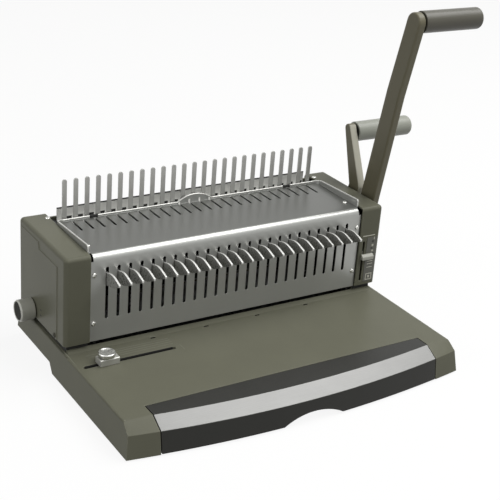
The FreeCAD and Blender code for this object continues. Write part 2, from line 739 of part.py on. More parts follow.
def shaft_bushes():
    """Bushes in both side plates and in the gear bracket."""
    bushes = [bush(y, z, r, WEB_X, WEB_X + WEB_T) for y, z, r in shaft_places(1)]
    for y, z, r in shaft_places(-1):
        bushes.append(bush(y, z, r, WEB_X, WEB_X + WEB_T).mirror(ORIGIN, AXIS_X))
    for y, z, r in ((RAKE_Y, RAKE_Z, RAKE_R), (BIND_Y, BIND_Z, BIND_R)):
        bushes.append(bush(y, z, r, BRACKET_X, BRACKET_X + BRACKET_T))
    return Part.makeCompound(bushes)


def gear_bracket():
    """Outer bearing plate of the two gears, on three posts from the side plate."""
    far = BRACKET_X + BRACKET_T
    plate = box(BRACKET_X, far, BRACKET_FRONT_Y - BRACKET_EDGE, BRACKET_REAR_Y + BRACKET_EDGE,
                BRACKET_LOW_Z - BRACKET_EDGE, BRACKET_HIGH_Z + BRACKET_EDGE)
    plate = plate.cut([rod_x(RAKE_Y, RAKE_Z, bush_r(RAKE_R), BRACKET_X - OVER, far + OVER),
                       rod_x(BIND_Y, BIND_Z, bush_r(BIND_R), BRACKET_X - OVER, far + OVER)])
    places = ((BRACKET_FRONT_Y, BRACKET_LOW_Z), (BRACKET_REAR_Y, BRACKET_LOW_Z),
              (BRACKET_REAR_Y, BRACKET_HIGH_Z))
    return plate.fuse([rod_x(y, z, BRACKET_POST_R, WEB_X + WEB_T, BRACKET_X) for y, z in places])


def die_bar():
    """Lower die: flush with the deck, one hole for each pin."""
    bar = box(-DIE_HALF, DIE_HALF, DIE_FRONT, DIE_REAR, BASE_TOP - DIE_H, BASE_TOP)
    return bar.cut(pin_holes(BASE_TOP - DIE_H - OVER, BASE_TOP + OVER))


def guide_bar():
    """Upper guide: strips the paper and leads the pins."""
    bar = box(-WEB_X, WEB_X, GUIDE_FRONT, DIE_REAR, SHEET_BOTTOM, GUIDE_TOP)
    return bar.cut(pin_holes(SHEET_BOTTOM - OVER, GUIDE_TOP + OVER))


def pin_holes(z0, z1):
    """Rectangular holes that the pins run in."""
    half_w = PIN_W / 2 + PIN_FIT
    half_t = PIN_T / 2 + PIN_FIT
    return [box(pin_x(i) - half_w, pin_x(i) + half_w, PIN_Y - half_t, PIN_Y + half_t, z0, z1)
            for i in range(PIN_COUNT)]


def throat_spacers():
    """Blocks that hold the two halves of the die set apart at the ends of the throat."""
    block = box(DIE_HALF - SPACER_W, DIE_HALF, GUIDE_FRONT, DIE_REAR, BASE_TOP, SHEET_BOTTOM)
    return Part.makeCompound(both_sides(block))


def guide_posts():
    """Posts on the guide bar that the press bar slides on."""
    return Part.makeCompound(both_sides(rod_z(POST_X, POST_Y, POST_R, GUIDE_TOP, POST_TOP)))


def return_springs():
    """Coil springs round the posts that lift the press bar."""
    low = GUIDE_TOP + SPRING_WIRE_R
    height = BAR_LOW - GUIDE_TOP - 2 * SPRING_WIRE_R
    helix = Part.makeHelix(height / SPRING_TURNS, height, SPRING_R)
    ring = Part.Wire(Part.makeCircle(SPRING_WIRE_R, FreeCAD.Vector(SPRING_R, 0, 0), AXIS_Y))
    coil = Part.Wire(helix).makePipeShell([ring], True, True)
    springs = []
    for x in (-POST_X, POST_X):
        spring = coil.copy()
        spring.translate(FreeCAD.Vector(x, POST_Y, low))
        springs.append(spring)
    return Part.makeCompound(springs)


def press_bar():
    """Bar that drives all pins down, bored for the guide posts."""
    front = PIN_Y + PIN_T / 2
    bar = box(-BAR_HALF, BAR_HALF, front, front + BAR_D, BAR_LOW, BAR_TOP)
    return bar.cut(both_sides(rod_z(POST_X, POST_Y, POST_R + RUN_FIT, BAR_LOW - OVER, BAR_TOP + OVER)))


def clamp_strip():
    """Strip that holds the pins against the press bar."""
    rear = PIN_Y - PIN_T / 2
    return box(-BAR_HALF, BAR_HALF, rear - STRIP_T, rear, BAR_LOW + STRIP_INSET, BAR_TOP - STRIP_INSET)


def punch_pins():
    """Flat blades, one for each hole of the comb rule."""
    front = PIN_Y - PIN_T / 2
    return Part.makeCompound([box(pin_x(i) - PIN_W / 2, pin_x(i) + PIN_W / 2, front, front + PIN_T, PIN_TIP,
                                  PIN_TOP) for i in range(PIN_COUNT)])


def pin_pulls():
    """Noses on the blades that stand out of the cover's slots, to pull a pin out of use."""
    front = PIN_Y - PIN_T / 2
    outline = [(front, NOSE_ROOT_Z - NOSE_ROOT_H / 2), (0, NOSE_ROOT_Z - NOSE_ROOT_H / 2),
               (NOSE_BELLY_Y, NOSE_BELLY_Z), (-NOSE_OUT, NOSE_TIP_Z - NOSE_TIP_H / 2),
               (-NOSE_OUT, NOSE_TIP_Z + NOSE_TIP_H / 2), (NOSE_CREST_Y, NOSE_CREST_Z),
               (0, NOSE_ROOT_Z + NOSE_ROOT_H / 2), (front, NOSE_ROOT_Z + NOSE_ROOT_H / 2)]
    noses = []
    for index in range(PIN_COUNT):
        x = pin_x(index)
        nose = prism_x(outline, x - NOSE_T / 2, x + NOSE_T / 2)
        noses.append(round_edges(nose, NOSE_ROUND, lambda m, run: abs(run.x) > NOSE_T / 2
                                 and m.y < NEAR - NOSE_OUT))
    return Part.makeCompound(noses)


def crank_end():
    """Rest place (y, z) of the crank rollers."""
    turn = math.radians(CRANK_REST_DEG)
    return PUNCH_Y - CRANK_REACH * math.cos(turn), PUNCH_Z + CRANK_REACH * math.sin(turn)


def yokes():
    """Forks on the press bar that the crank rollers run in."""
    roller_z = crank_end()[1]
    gap = ROLLER_R + YOKE_FIT
    front = PIN_Y + PIN_T / 2
    slot_front = PUNCH_Y - CRANK_REACH - gap
    rear = PUNCH_Y - PUNCH_R - YOKE_SHAFT_GAP
    x0 = CRANK_X + CRANK_T + YOKE_SIDE_GAP
    x1 = x0 + ROLLER_W - 2 * YOKE_SIDE_GAP
    block = box(x0, x1, front, rear, BAR_TOP, roller_z + gap + YOKE_WALL)
    block = block.cut(box(x0 - OVER, x1 + OVER, slot_front, rear + OVER, roller_z - gap, roller_z + gap))
    return Part.makeCompound(both_sides(block))


def punch_shaft():
    """Shaft across the machine that the punch lever turns."""
    return rod_x(PUNCH_Y, PUNCH_Z, PUNCH_R, -WEB_X - WEB_T - SHAFT_END, ARM_OUT)


def cranks():
    """Crank arms on the punch shaft."""
    y, z = crank_end()
    arm = link_x(PUNCH_Y, PUNCH_Z, CRANK_HUB_R, y, z, CRANK_END_R, CRANK_X, CRANK_X + CRANK_T)
    arm = arm.cut(rod_x(PUNCH_Y, PUNCH_Z, PUNCH_R, CRANK_X - OVER, CRANK_X + CRANK_T + OVER))
    return Part.makeCompound(both_sides(arm))


def crank_rollers():
    """Rollers on the crank ends."""
    y, z = crank_end()
    start = CRANK_X + CRANK_T
    return Part.makeCompound(both_sides(rod_x(y, z, ROLLER_R, start, start + ROLLER_W)))


def punch_arm():
    """Long flat arm outside the right end cover, slightly bent, with a round foot on the shaft."""
    lower = link_x(PUNCH_Y + PUNCH_ARM_BACK, PUNCH_Z, PUNCH_ARM_LOW_R, PUNCH_ELBOW_Y, PUNCH_ELBOW_Z,
                   PUNCH_ARM_MID_R, ARM_IN, ARM_OUT)
    upper = link_x(PUNCH_ELBOW_Y, PUNCH_ELBOW_Z, PUNCH_ARM_MID_R, PUNCH_GRIP_Y, PUNCH_GRIP_Z,
                   PUNCH_ARM_TOP_R, ARM_IN, ARM_OUT)
    arm = lower.fuse([upper, rod_x(PUNCH_Y, PUNCH_Z, PUNCH_HUB_R, ARM_IN, ARM_OUT)]).removeSplitter()
    arm = round_edges(arm, ARM_ROUND, lambda m, run: abs(run.x) < NEAR)
    return arm.cut(rod_x(PUNCH_Y, PUNCH_Z, PUNCH_R, ARM_IN - OVER, ARM_OUT + OVER))


def grip(y, z, end):
    """Moulded grip over its rod, with a rounded end."""
    start = ARM_OUT + GRIP_GAP
    sleeve = rod_x(y, z, GRIP_R, start, end)
    sleeve = round_edges(sleeve, GRIP_ROUND, lambda m, run: abs(m.x - end) < NEAR)
    return sleeve.cut(rod_x(y, z, ROD_R, start - OVER, end - GRIP_END_WALL))


def grip_rod(y, z, end):
    """Steel rod in a grip, with the collar that shows as a dark ring beside the arm."""
    collar = rod_x(y, z, COLLAR_R, ARM_OUT, ARM_OUT + GRIP_GAP)
    return collar.fuse(rod_x(y, z, ROD_R, ARM_OUT, end - GRIP_END_WALL)).removeSplitter()


def hub_cap(y, z):
    """Cap over a lever's shaft end."""
    cap = rod_x(y, z, HUB_CAP_R, ARM_OUT, ARM_OUT + HUB_CAP_T)
    return round_edges(cap, HUB_CAP_T / 2, lambda m, run: abs(m.x - ARM_OUT - HUB_CAP_T) < NEAR)


def binding_arm():
    """Short arm with an elbow towards the front, tapering up past its grip."""
    lower = link_x(BIND_Y, BIND_Z, BIND_ARM_LOW_R, BIND_ELBOW_Y, BIND_ELBOW_Z, BIND_ARM_MID_R,
                   ARM_IN, ARM_OUT)
    upper = link_x(BIND_ELBOW_Y, BIND_ELBOW_Z, BIND_ARM_MID_R, BIND_GRIP_Y, BIND_GRIP_Z + BIND_HEAD_UP,
                   BIND_ARM_TOP_R, ARM_IN, ARM_OUT)
    arm = lower.fuse(upper).removeSplitter()
    arm = round_edges(arm, BIND_ARM_ROUND, lambda m, run: abs(run.x) < NEAR)
    return arm.cut(rod_x(BIND_Y, BIND_Z, BIND_R, ARM_IN - OVER, ARM_OUT + OVER))


def binding_shaft():
    """Stub shaft of the binding lever."""
    return rod_x(BIND_Y, BIND_Z, BIND_R, WEB_X - SHAFT_END, ARM_OUT)


def involute(angle):
    """Involute function of a pressure angle."""
    return math.tan(angle) - angle


def gear(y, z, teeth, first_tooth, bore):
    """Spur gear about X with involute teeth; one tooth points along first_tooth."""
    pitch_r = GEAR_MODULE * teeth / 2
    base_r = pitch_r * math.cos(math.radians(PRESSURE_DEG))
    tip_r = pitch_r + GEAR_MODULE
    root_r = pitch_r - GEAR_ROOT * GEAR_MODULE
    half_at_pitch = math.pi / (2 * teeth) - GEAR_BACKLASH / (4 * pitch_r)
    flank_steps = 5
    start_r = max(base_r, root_r)
    flank = []
    for step in range(flank_steps + 1):
        r = start_r + (tip_r - start_r) * step / flank_steps
        lean = math.acos(min(1.0, base_r / r))
        half = half_at_pitch + involute(math.radians(PRESSURE_DEG)) - involute(lean)
        flank.append((r, half))
    points = []
    for tooth in range(teeth):
        middle = first_tooth + 2 * math.pi * tooth / teeth
        points.append((root_r, middle - flank[0][1]))
        points += [(r, middle - half) for r, half in flank]
        points += [(r, middle + half) for r, half in reversed(flank)]
        points.append((root_r, middle + flank[0][1]))
    loop = [(y + r * math.cos(turn), z + r * math.sin(turn)) for r, turn in points]
    wheel = prism_x(loop, GEAR_X, GEAR_X + GEAR_T)
    return wheel.cut(rod_x(y, z, bore, GEAR_X - OVER, GEAR_X + GEAR_T + OVER))


def gear_heading():
    """Direction from the binding gear to the rake gear."""
    return math.atan2(RAKE_Z - BIND_Z, RAKE_Y - BIND_Y)


def binding_gear():
    """Driving gear: a tooth lies on the line of centres."""
    return gear(BIND_Y, BIND_Z, BIND_TEETH, gear_heading(), BIND_R)


def rake_gear():
    """Driven gear: a gap lies on the line of centres."""
    first = gear_heading() + math.pi + math.pi / RAKE_TEETH
    return gear(RAKE_Y, RAKE_Z, RAKE_TEETH, first, RAKE_R)


def rake_shaft():
    """Shaft that carries the hooks."""
    return rod_x(RAKE_Y, RAKE_Z, RAKE_R, -WEB_X - WEB_T - SHAFT_END, BRACKET_X + BRACKET_T)


def rake_hooks():
    """Hooks that rise through the top slots and pull the comb open."""
    turn = math.radians(HOOK_REST_DEG)
    root = HOOK_ROOT_W / 2
    neck = HOOK_NECK_W / 2
    throat = HOOK_REACH - HOOK_BARB_L
    barb = neck + HOOK_BARB
    shape = [(0, -root), (HOOK_REACH, -neck), (HOOK_REACH, barb), (throat + HOOK_BARB, barb), (throat, neck),
             (0, root)]
    along_y = math.sin(turn)
    along_z = math.cos(turn)
    loop = [(RAKE_Y + u * along_y - v * along_z, RAKE_Z + u * along_z + v * along_y) for u, v in shape]
    hooks = []
    for index in range(PIN_COUNT):
        x0 = pin_x(index) - HOOK_T / 2
        hook = prism_x(loop, x0, x0 + HOOK_T).fuse(rod_x(RAKE_Y, RAKE_Z, HOOK_HUB_R, x0, x0 + HOOK_T))
        hooks.append(hook.cut(rod_x(RAKE_Y, RAKE_Z, RAKE_R, x0 - OVER, x0 + HOOK_T + OVER)))
    return Part.makeCompound(hooks)


def comb_fingers():
    """Flat fingers that hold the comb's spine back, each with a round tip."""
    fingers = []
    tip_r = FINGER_W / 2
    for index in range(FINGER_COUNT):
        x = finger_x(index)
        blade = box(x - tip_r, x + tip_r, FINGER_Y, FINGER_Y + FINGER_T, FINGER_LOW, FINGER_TOP - tip_r)
        tip = rod_y(x, FINGER_TOP - tip_r, tip_r, FINGER_Y, FINGER_Y + FINGER_T)
        fingers.append(blade.fuse(tip).removeSplitter())
    return Part.makeCompound(fingers)


def finger_bar():
    """Bar between the side plates that the fingers are riveted to."""
    rear = FINGER_Y + FINGER_T
    return box(-WEB_X, WEB_X, rear, rear + FINGER_BAR_T, FINGER_LOW, TROUGH_Z)


def rear_strip():
    """Angle strip: floor of the comb trough and the upright behind it."""
    floor = box(-STRIP_HALF, STRIP_HALF, FINGER_Y + FINGER_T, STRIP_Y + STRIP_SHEET, TROUGH_Z,
                TROUGH_Z + STRIP_SHEET)
    upright = box(-STRIP_HALF, STRIP_HALF, STRIP_Y, STRIP_Y + STRIP_SHEET, TROUGH_Z, STRIP_TOP)
    return floor.fuse(upright).removeSplitter()


def depth_shaft():
    """Shaft from the depth knob across the machine."""
    return rod_x(DEPTH_Y, DEPTH_Z, DEPTH_R, KNOB_FACE_T - KNOB_OUT, WEB_X + WEB_T + SHAFT_END)


def depth_knob():
    """Smooth round knob on the left end."""
    knob = rod_x(DEPTH_Y, DEPTH_Z, KNOB_R, -KNOB_OUT, -KNOB_IN)
    knob = round_edges(knob, KNOB_ROUND, lambda m, run: abs(m.x + KNOB_OUT) < NEAR)
    return knob.cut(rod_x(DEPTH_Y, DEPTH_Z, DEPTH_R, KNOB_FACE_T - KNOB_OUT, OVER - KNOB_IN))


def eccentrics():
    """Eccentric discs on the depth shaft that shift the stop plate."""
    disc = rod_x(DEPTH_Y, DEPTH_Z - ECC_OFF, ECC_R, ECC_X, ECC_X + ECC_T)
    disc = disc.cut(rod_x(DEPTH_Y, DEPTH_Z, DEPTH_R, ECC_X - OVER, ECC_X + ECC_T + OVER))
    return Part.makeCompound(both_sides(disc))


def stop_plate():
    """Sliding plate that stops the paper."""
    low = BASE_TOP + STOP_FIT
    return box(-STOP_HALF, STOP_HALF, STOP_FRONT, STOP_REAR, low, low + STOP_T)


def stop_ears():
    """Ears riveted to the stop plate, before and behind each eccentric."""
    low = BASE_TOP + STOP_FIT + STOP_T
    gap = ECC_R + ECC_FIT
    ears = []
    for y0 in (DEPTH_Y - gap - EAR_T, DEPTH_Y + gap):
        ears += both_sides(box(ECC_X, ECC_X + ECC_T, y0, y0 + EAR_T, low, EAR_TOP))
    return Part.makeCompound(ears)


def selector_tab():
    """Tab that slides in the right cover's slot, with its keeper inside."""
    stem_half = SEL_SLOT_W / 2 - SEL_FIT
    low = SEL_Z - SEL_STEM_H / 2
    tab_low = SEL_Z - SEL_TAB_H / 2
    tab_high = SEL_Z + SEL_TAB_H / 2
    rear = END_FRONT - SCALE_T - SEL_FIT
    front = END_FRONT - SEL_TAB_D
    inside = END_FRONT + END_WALL + SEL_FIT
    tab_loop = [(rear, tab_low), (rear, tab_high), (front + SEL_TAB_SLOPE, tab_high),
                (front, tab_high - SEL_TAB_SLOPE), (front, tab_low)]
    tab = prism_x(tab_loop, SEL_TAB_IN, SEL_TAB_OUT)
    stem = box(SEL_SLOT_X - stem_half, SEL_SLOT_X + stem_half, rear, inside, low, low + SEL_STEM_H)
    keeper = box(SEL_SLOT_X - SEL_KEEPER_HALF, SEL_SLOT_X + SEL_KEEPER_HALF, inside, inside + SEL_KEEPER_T,
                 low - SEL_KEEPER_RISE, low + SEL_STEM_H + SEL_KEEPER_RISE)
    return tab.fuse([stem, keeper]).removeSplitter()


def selector_scale():
    """Thin scale plate beside the selector's slot."""
    return box(SCALE_IN, SCALE_OUT, END_FRONT - SCALE_T, END_FRONT, SCALE_LOW, SCALE_HIGH)


def edge_guide():
    """Metal block that the paper's edge stops against, with a tongue in the deck slot."""
    low = BASE_TOP + EDGE_FIT
    front = GUIDE_SLOT_Y - EDGE_D / 2
    block = box(EDGE_X - EDGE_HALF, EDGE_X + EDGE_HALF, front, front + EDGE_D, low, low + EDGE_H)
    block = round_edges(block, EDGE_TOP_ROUND, lambda m, run: m.z > low + NEAR)
    tongue_half = GUIDE_SLOT_W / 2 - EDGE_FIT
    tongue = box(EDGE_X - TONGUE_HALF, EDGE_X + TONGUE_HALF, GUIDE_SLOT_Y - tongue_half,
                 GUIDE_SLOT_Y + tongue_half, BASE_TOP - BASE_WALL - EDGE_FIT, low)
    whole = block.fuse(tongue).removeSplitter()
    return whole.cut(rod_z(EDGE_X, GUIDE_SLOT_Y, SCREW_R + RUN_FIT, 0, low + EDGE_H + OVER))


def edge_clamp():
    """Plate under the deck that the thumb screw pulls up."""
    top = BASE_TOP - BASE_WALL - EDGE_FIT
    half = EDGE_D / 2
    plate = box(EDGE_X - CLAMP_HALF, EDGE_X + CLAMP_HALF, GUIDE_SLOT_Y - half, GUIDE_SLOT_Y + half,
                top - CLAMP_T, top)
    return plate.cut(rod_z(EDGE_X, GUIDE_SLOT_Y, SCREW_R + RUN_FIT, top - CLAMP_T - OVER, top + OVER))


def thumb_screw():
    """Knurled thumb screw with a dished head."""
    seat = BASE_TOP + EDGE_FIT + EDGE_H + EDGE_FIT
    knob_low = seat + SCREW_COLLAR_H
    top = knob_low + SCREW_KNOB_T
    tail = BASE_TOP - BASE_WALL - EDGE_FIT - CLAMP_T - SCREW_TAIL
    head = rod_z(EDGE_X, GUIDE_SLOT_Y, SCREW_KNOB_R, knob_low, top)
    head = round_edges(head, SCREW_ROUND, lambda m, run: abs(m.z - top) < NEAR)
    screw = head.fuse([rod_z(EDGE_X, GUIDE_SLOT_Y, SCREW_KNOB_R / 2, seat, knob_low),
                       rod_z(EDGE_X, GUIDE_SLOT_Y, SCREW_R, tail, knob_low)])
    cuts = [rod_z(EDGE_X, GUIDE_SLOT_Y, SCREW_KNOB_R - SCREW_RIM, top - SCREW_DISH, top + OVER)]
    ring = SCREW_KNOB_R + SCREW_RIB_OUT
    for rib in range(SCREW_RIBS):
        turn = 2 * math.pi * rib / SCREW_RIBS
        cuts.append(rod_z(EDGE_X + ring * math.cos(turn), GUIDE_SLOT_Y + ring * math.sin(turn), SCREW_RIB_R,
                          knob_low - OVER, top - SCREW_ROUND))
    return screw.removeSplitter().cut(cuts)


def band_inset(x, depth):
    """Corners of a face sunk square to the band's slope."""
    run = band_edge(x) - crease_edge(x)
    length = math.hypot(run, BAND_FALL)
    dy = BAND_FALL / length * depth
    dz = run / length * depth
    return (crease_edge(x) + dy, BASE_TOP + dz), (band_edge(x) + dy, BAND_LOW_Z + dz)


def drawer_front():
    """Bowed front of the chip drawer, hollow from below, with a finger arch."""
    def profile(x):
        inset_top, inset_low = band_inset(x, BAND_T)
        return [(DRAWER_REAR, DRAWER_LOW), (DRAWER_REAR, BASE_TOP), (crease_edge(x), BASE_TOP), inset_top,
                inset_low, (band_edge(x), BAND_LOW_Z), (low_edge(x), DRAWER_LOW)]
    body = loft(DRAWER_HALF, profile)
    skin_low = BAND_LOW_Z - DRAWER_SKIN
    behind = DRAWER_REAR - BASE_WALL
    hollow_loop = [(DRAWER_INNER, behind), (-DRAWER_INNER, behind)]
    for share in STATIONS:
        x = share * DRAWER_INNER
        hollow_loop.append((x, band_edge(x) + DRAWER_SKIN))
    hollow = prism_z(hollow_loop, 0, skin_low)
    upper_front = crease_edge(DRAWER_INNER) + DRAWER_SKIN
    upper = box(-DRAWER_INNER, DRAWER_INNER, upper_front, behind, 0, BASE_TOP - BASE_WALL)
    arch_r = (FINGER_ARCH_HALF ** 2 + FINGER_ARCH_H ** 2) / (2 * FINGER_ARCH_H)
    arch = rod_y(0, DRAWER_LOW + FINGER_ARCH_H - arch_r, arch_r, FRONT_LOW_EDGE - OVER, top_edge(0))
    return body.cut([hollow, upper, arch])


def drawer_band():
    """Silver band let into the drawer front's slope."""
    def profile(x):
        inset_top, inset_low = band_inset(x, BAND_T - BAND_FIT)
        return [(crease_edge(x), BASE_TOP), inset_top, inset_low, (band_edge(x), BAND_LOW_Z)]
    return loft(DRAWER_HALF, profile)


def drawer_tray():
    """Open tray behind the drawer front that catches the paper chips."""
    tray = box(-TRAY_HALF, TRAY_HALF, DRAWER_REAR, TRAY_REAR, TRAY_LOW, TRAY_TOP)
    half = TRAY_HALF - TRAY_WALL
    return tray.cut(box(-half, half, DRAWER_REAR + TRAY_WALL, TRAY_REAR - TRAY_WALL, TRAY_LOW + TRAY_WALL,
                        TRAY_TOP + OVER))


def panel_screws():
    """Screw heads on the rear panel and under the bottom plate."""
    back = REAR_PANEL_Y + END_WALL
    screws = []
    for z in (BASE_TOP + PANEL_SCREW_IN, REAR_PANEL_TOP - PANEL_SCREW_IN):
        screws += both_sides(rod_y(PANEL_SCREW_X, z, SCREW_HEAD_R, back, back + SCREW_HEAD_H))
    plate_rear = BASE_REAR - BASE_WALL - PLATE_GAP
    for y in (PLATE_FRONT + PLATE_GAP + PLATE_SCREW_IN, plate_rear - PLATE_SCREW_IN):
        screws += both_sides(rod_z(PLATE_SCREW_X, y, SCREW_HEAD_R, BASE_BOTTOM - PLATE_SCREW_H, BASE_BOTTOM))
    return Part.makeCompound(screws)


def cover_screws():
    """Screw heads on the steel cover and the end covers."""
    screws = []
    for z in (FRONT_SCREW_LOW, FRONT_SCREW_HIGH):
        screws += both_sides(rod_y(FRONT_SCREW_X, z, SCREW_HEAD_R, -SCREW_HEAD_H, 0))
    screws += both_sides(rod_z(TOP_SCREW_X, TOP_SCREW_Y, SCREW_HEAD_R, SHEET_TOP, SHEET_TOP + SCREW_HEAD_H))
    screws += both_sides(rod_z(REAR_SCREW_X, REAR_SCREW_Y, SCREW_HEAD_R, END_TOP, END_TOP + SCREW_HEAD_H))
    screws += both_sides(rod_x(SIDE_SCREW_Y, SIDE_SCREW_Z, SCREW_HEAD_R, END_FACE, END_FACE + SCREW_HEAD_H))
    return Part.makeCompound(screws)


def main():
    """Build every node and write its file."""
    os.makedirs("parts", exist_ok=True)
    save("base_shell", base_shell())
    save("bottom_plate", bottom_plate())
    save("rubber_feet", rubber_feet())
    save("steel_cover", steel_cover())
    save("end_cover_left", end_cover(-1))
    save("end_cover_right", end_cover(1))
    save("rear_panel", rear_panel())
    save("side_plate_left", side_plate(-1))
    save("side_plate_right", side_plate(1))
    save("shaft_bushes", shaft_bushes())
    save("gear_bracket", gear_bracket())
    save("die_bar", die_bar())
    save("guide_bar", guide_bar())
    save("throat_spacers", throat_spacers())
    save("guide_posts", guide_posts())
    save("return_springs", return_springs())
    save("press_bar", press_bar())
    save("clamp_strip", clamp_strip())
    save("punch_pins", punch_pins())
    save("pin_pulls", pin_pulls())
    save("yokes", yokes())
    save("punch_shaft", punch_shaft())
    save("cranks", cranks())
    save("crank_rollers", crank_rollers())
    save("punch_arm", punch_arm())
    save("punch_grip", grip(PUNCH_GRIP_Y, PUNCH_GRIP_Z, PUNCH_GRIP_END))
    save("punch_grip_rod", grip_rod(PUNCH_GRIP_Y, PUNCH_GRIP_Z, PUNCH_GRIP_END))
    save("punch_hub_cap", hub_cap(PUNCH_Y, PUNCH_Z))
    save("binding_arm", binding_arm())
    save("binding_grip", grip(BIND_GRIP_Y, BIND_GRIP_Z, BIND_GRIP_END))
    save("binding_grip_rod", grip_rod(BIND_GRIP_Y, BIND_GRIP_Z, BIND_GRIP_END))
    save("binding_hub_cap", hub_cap(BIND_Y, BIND_Z))
    save("binding_shaft", binding_shaft())
    save("binding_gear", binding_gear())
    save("rake_shaft", rake_shaft())
    save("rake_gear", rake_gear())
    save("rake_hooks", rake_hooks())
    save("comb_fingers", comb_fingers())
    save("finger_bar", finger_bar())
    save("rear_strip", rear_strip())
    save("depth_knob", depth_knob())
    save("depth_shaft", depth_shaft())
    save("eccentrics", eccentrics())
    save("stop_plate", stop_plate())
    save("stop_ears", stop_ears())
    save("selector_tab", selector_tab())
    save("selector_scale", selector_scale())
    save("edge_guide", edge_guide())
    save("edge_clamp", edge_clamp())
    save("thumb_screw", thumb_screw())
    save("drawer_front", drawer_front())
    save("drawer_band", drawer_band())
    save("drawer_tray", drawer_tray())
    save("cover_screws", cover_screws())
    save("panel_screws", panel_screws())


if __name__ == "__main__":
    main()
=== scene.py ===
import logging
import math
from dataclasses import dataclass, field, replace
from enum import Enum
from typing import Dict, Iterable, List, Optional, Sequence, Tuple

import bmesh
import bpy
from mathutils import Matrix, Vector


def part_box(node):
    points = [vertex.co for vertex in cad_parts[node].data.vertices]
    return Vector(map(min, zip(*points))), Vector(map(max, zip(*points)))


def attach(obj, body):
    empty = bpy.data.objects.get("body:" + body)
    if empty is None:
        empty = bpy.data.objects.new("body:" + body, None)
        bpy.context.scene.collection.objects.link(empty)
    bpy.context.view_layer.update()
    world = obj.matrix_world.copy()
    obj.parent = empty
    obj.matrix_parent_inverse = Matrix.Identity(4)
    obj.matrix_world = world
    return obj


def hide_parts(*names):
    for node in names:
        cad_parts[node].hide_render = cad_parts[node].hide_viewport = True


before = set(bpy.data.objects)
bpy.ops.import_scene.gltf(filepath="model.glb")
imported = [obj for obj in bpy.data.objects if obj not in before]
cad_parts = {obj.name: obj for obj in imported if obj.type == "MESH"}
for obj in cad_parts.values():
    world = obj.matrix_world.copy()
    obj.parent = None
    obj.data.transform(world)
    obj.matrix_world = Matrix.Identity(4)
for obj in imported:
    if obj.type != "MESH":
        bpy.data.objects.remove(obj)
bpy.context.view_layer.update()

log = logging.getLogger("comb_binder")
MM = 0.001
HERE = Matrix.Identity(4)
COMB_PITCH = 14.2875
# Edges that turn by more than these are eased, or kept from shading smooth
SHARP_DEG = 30.0
SMOOTH_DEG = 50.0
# CAD facets closer or flatter than these are joined before easing
MERGE_MM = 0.001
FLAT_DEG = 0.5
Point2 = Tuple[float, float]
Point3 = Tuple[float, float, float]
# Left, low, right and high of a flat mark in millimetres
Rect = Tuple[float, float, float, float]
Colour = Tuple[float, float, float, float]


# Colours and shader nodes

def linear(code: str) -> Colour:
    """Turn an sRGB hex code into a linear colour.

    Args:
        code: Six hex digits after a hash sign.

    Returns:
        Linear red, green, blue and an alpha of one.
    """
    parts = [int(code[at:at + 2], 16) / 255 for at in (1, 3, 5)]
    red, green, blue = (p / 12.92 if p <= 0.04045 else ((p + 0.055) / 1.055) ** 2.4 for p in parts)
    return red, green, blue, 1.0


def shade(code: str, by: float) -> Colour:
    """Lighten or darken a hex colour.

    Args:
        code: Six hex digits after a hash sign.
        by: Factor on the linear colour.

    Returns:
        Linear colour, held at white.
    """
    red, green, blue, alpha = linear(code)
    return min(1.0, red * by), min(1.0, green * by), min(1.0, blue * by), alpha


def add(tree: bpy.types.NodeTree, kind: str, inputs: Optional[dict] = None,
        **settings: object) -> bpy.types.Node:
    """Add one shader node with its settings and links.

    Args:
        tree: Node tree to add to.
        kind: Node type without its common prefix.
        inputs: Socket name or index to a value or to the output socket that feeds it.
        **settings: Attributes of the node itself.

    Returns:
        The new node.
    """
    made = tree.nodes.new("ShaderNode" + kind)
    for key, value in settings.items():
        setattr(made, key, value)
    for key, value in (inputs or {}).items():
        if isinstance(value, bpy.types.NodeSocket):
            tree.links.new(value, made.inputs[key])
        else:
            made.inputs[key].default_value = value
    return made


class Run(Enum):
    """Which way the marks of a surface run, as stretch factors of its pattern."""

    EVEN = (1.0, 1.0, 1.0)
    ALONG_X = (0.025, 1.0, 1.0)
    ALONG_Z = (1.0, 1.0, 0.025)


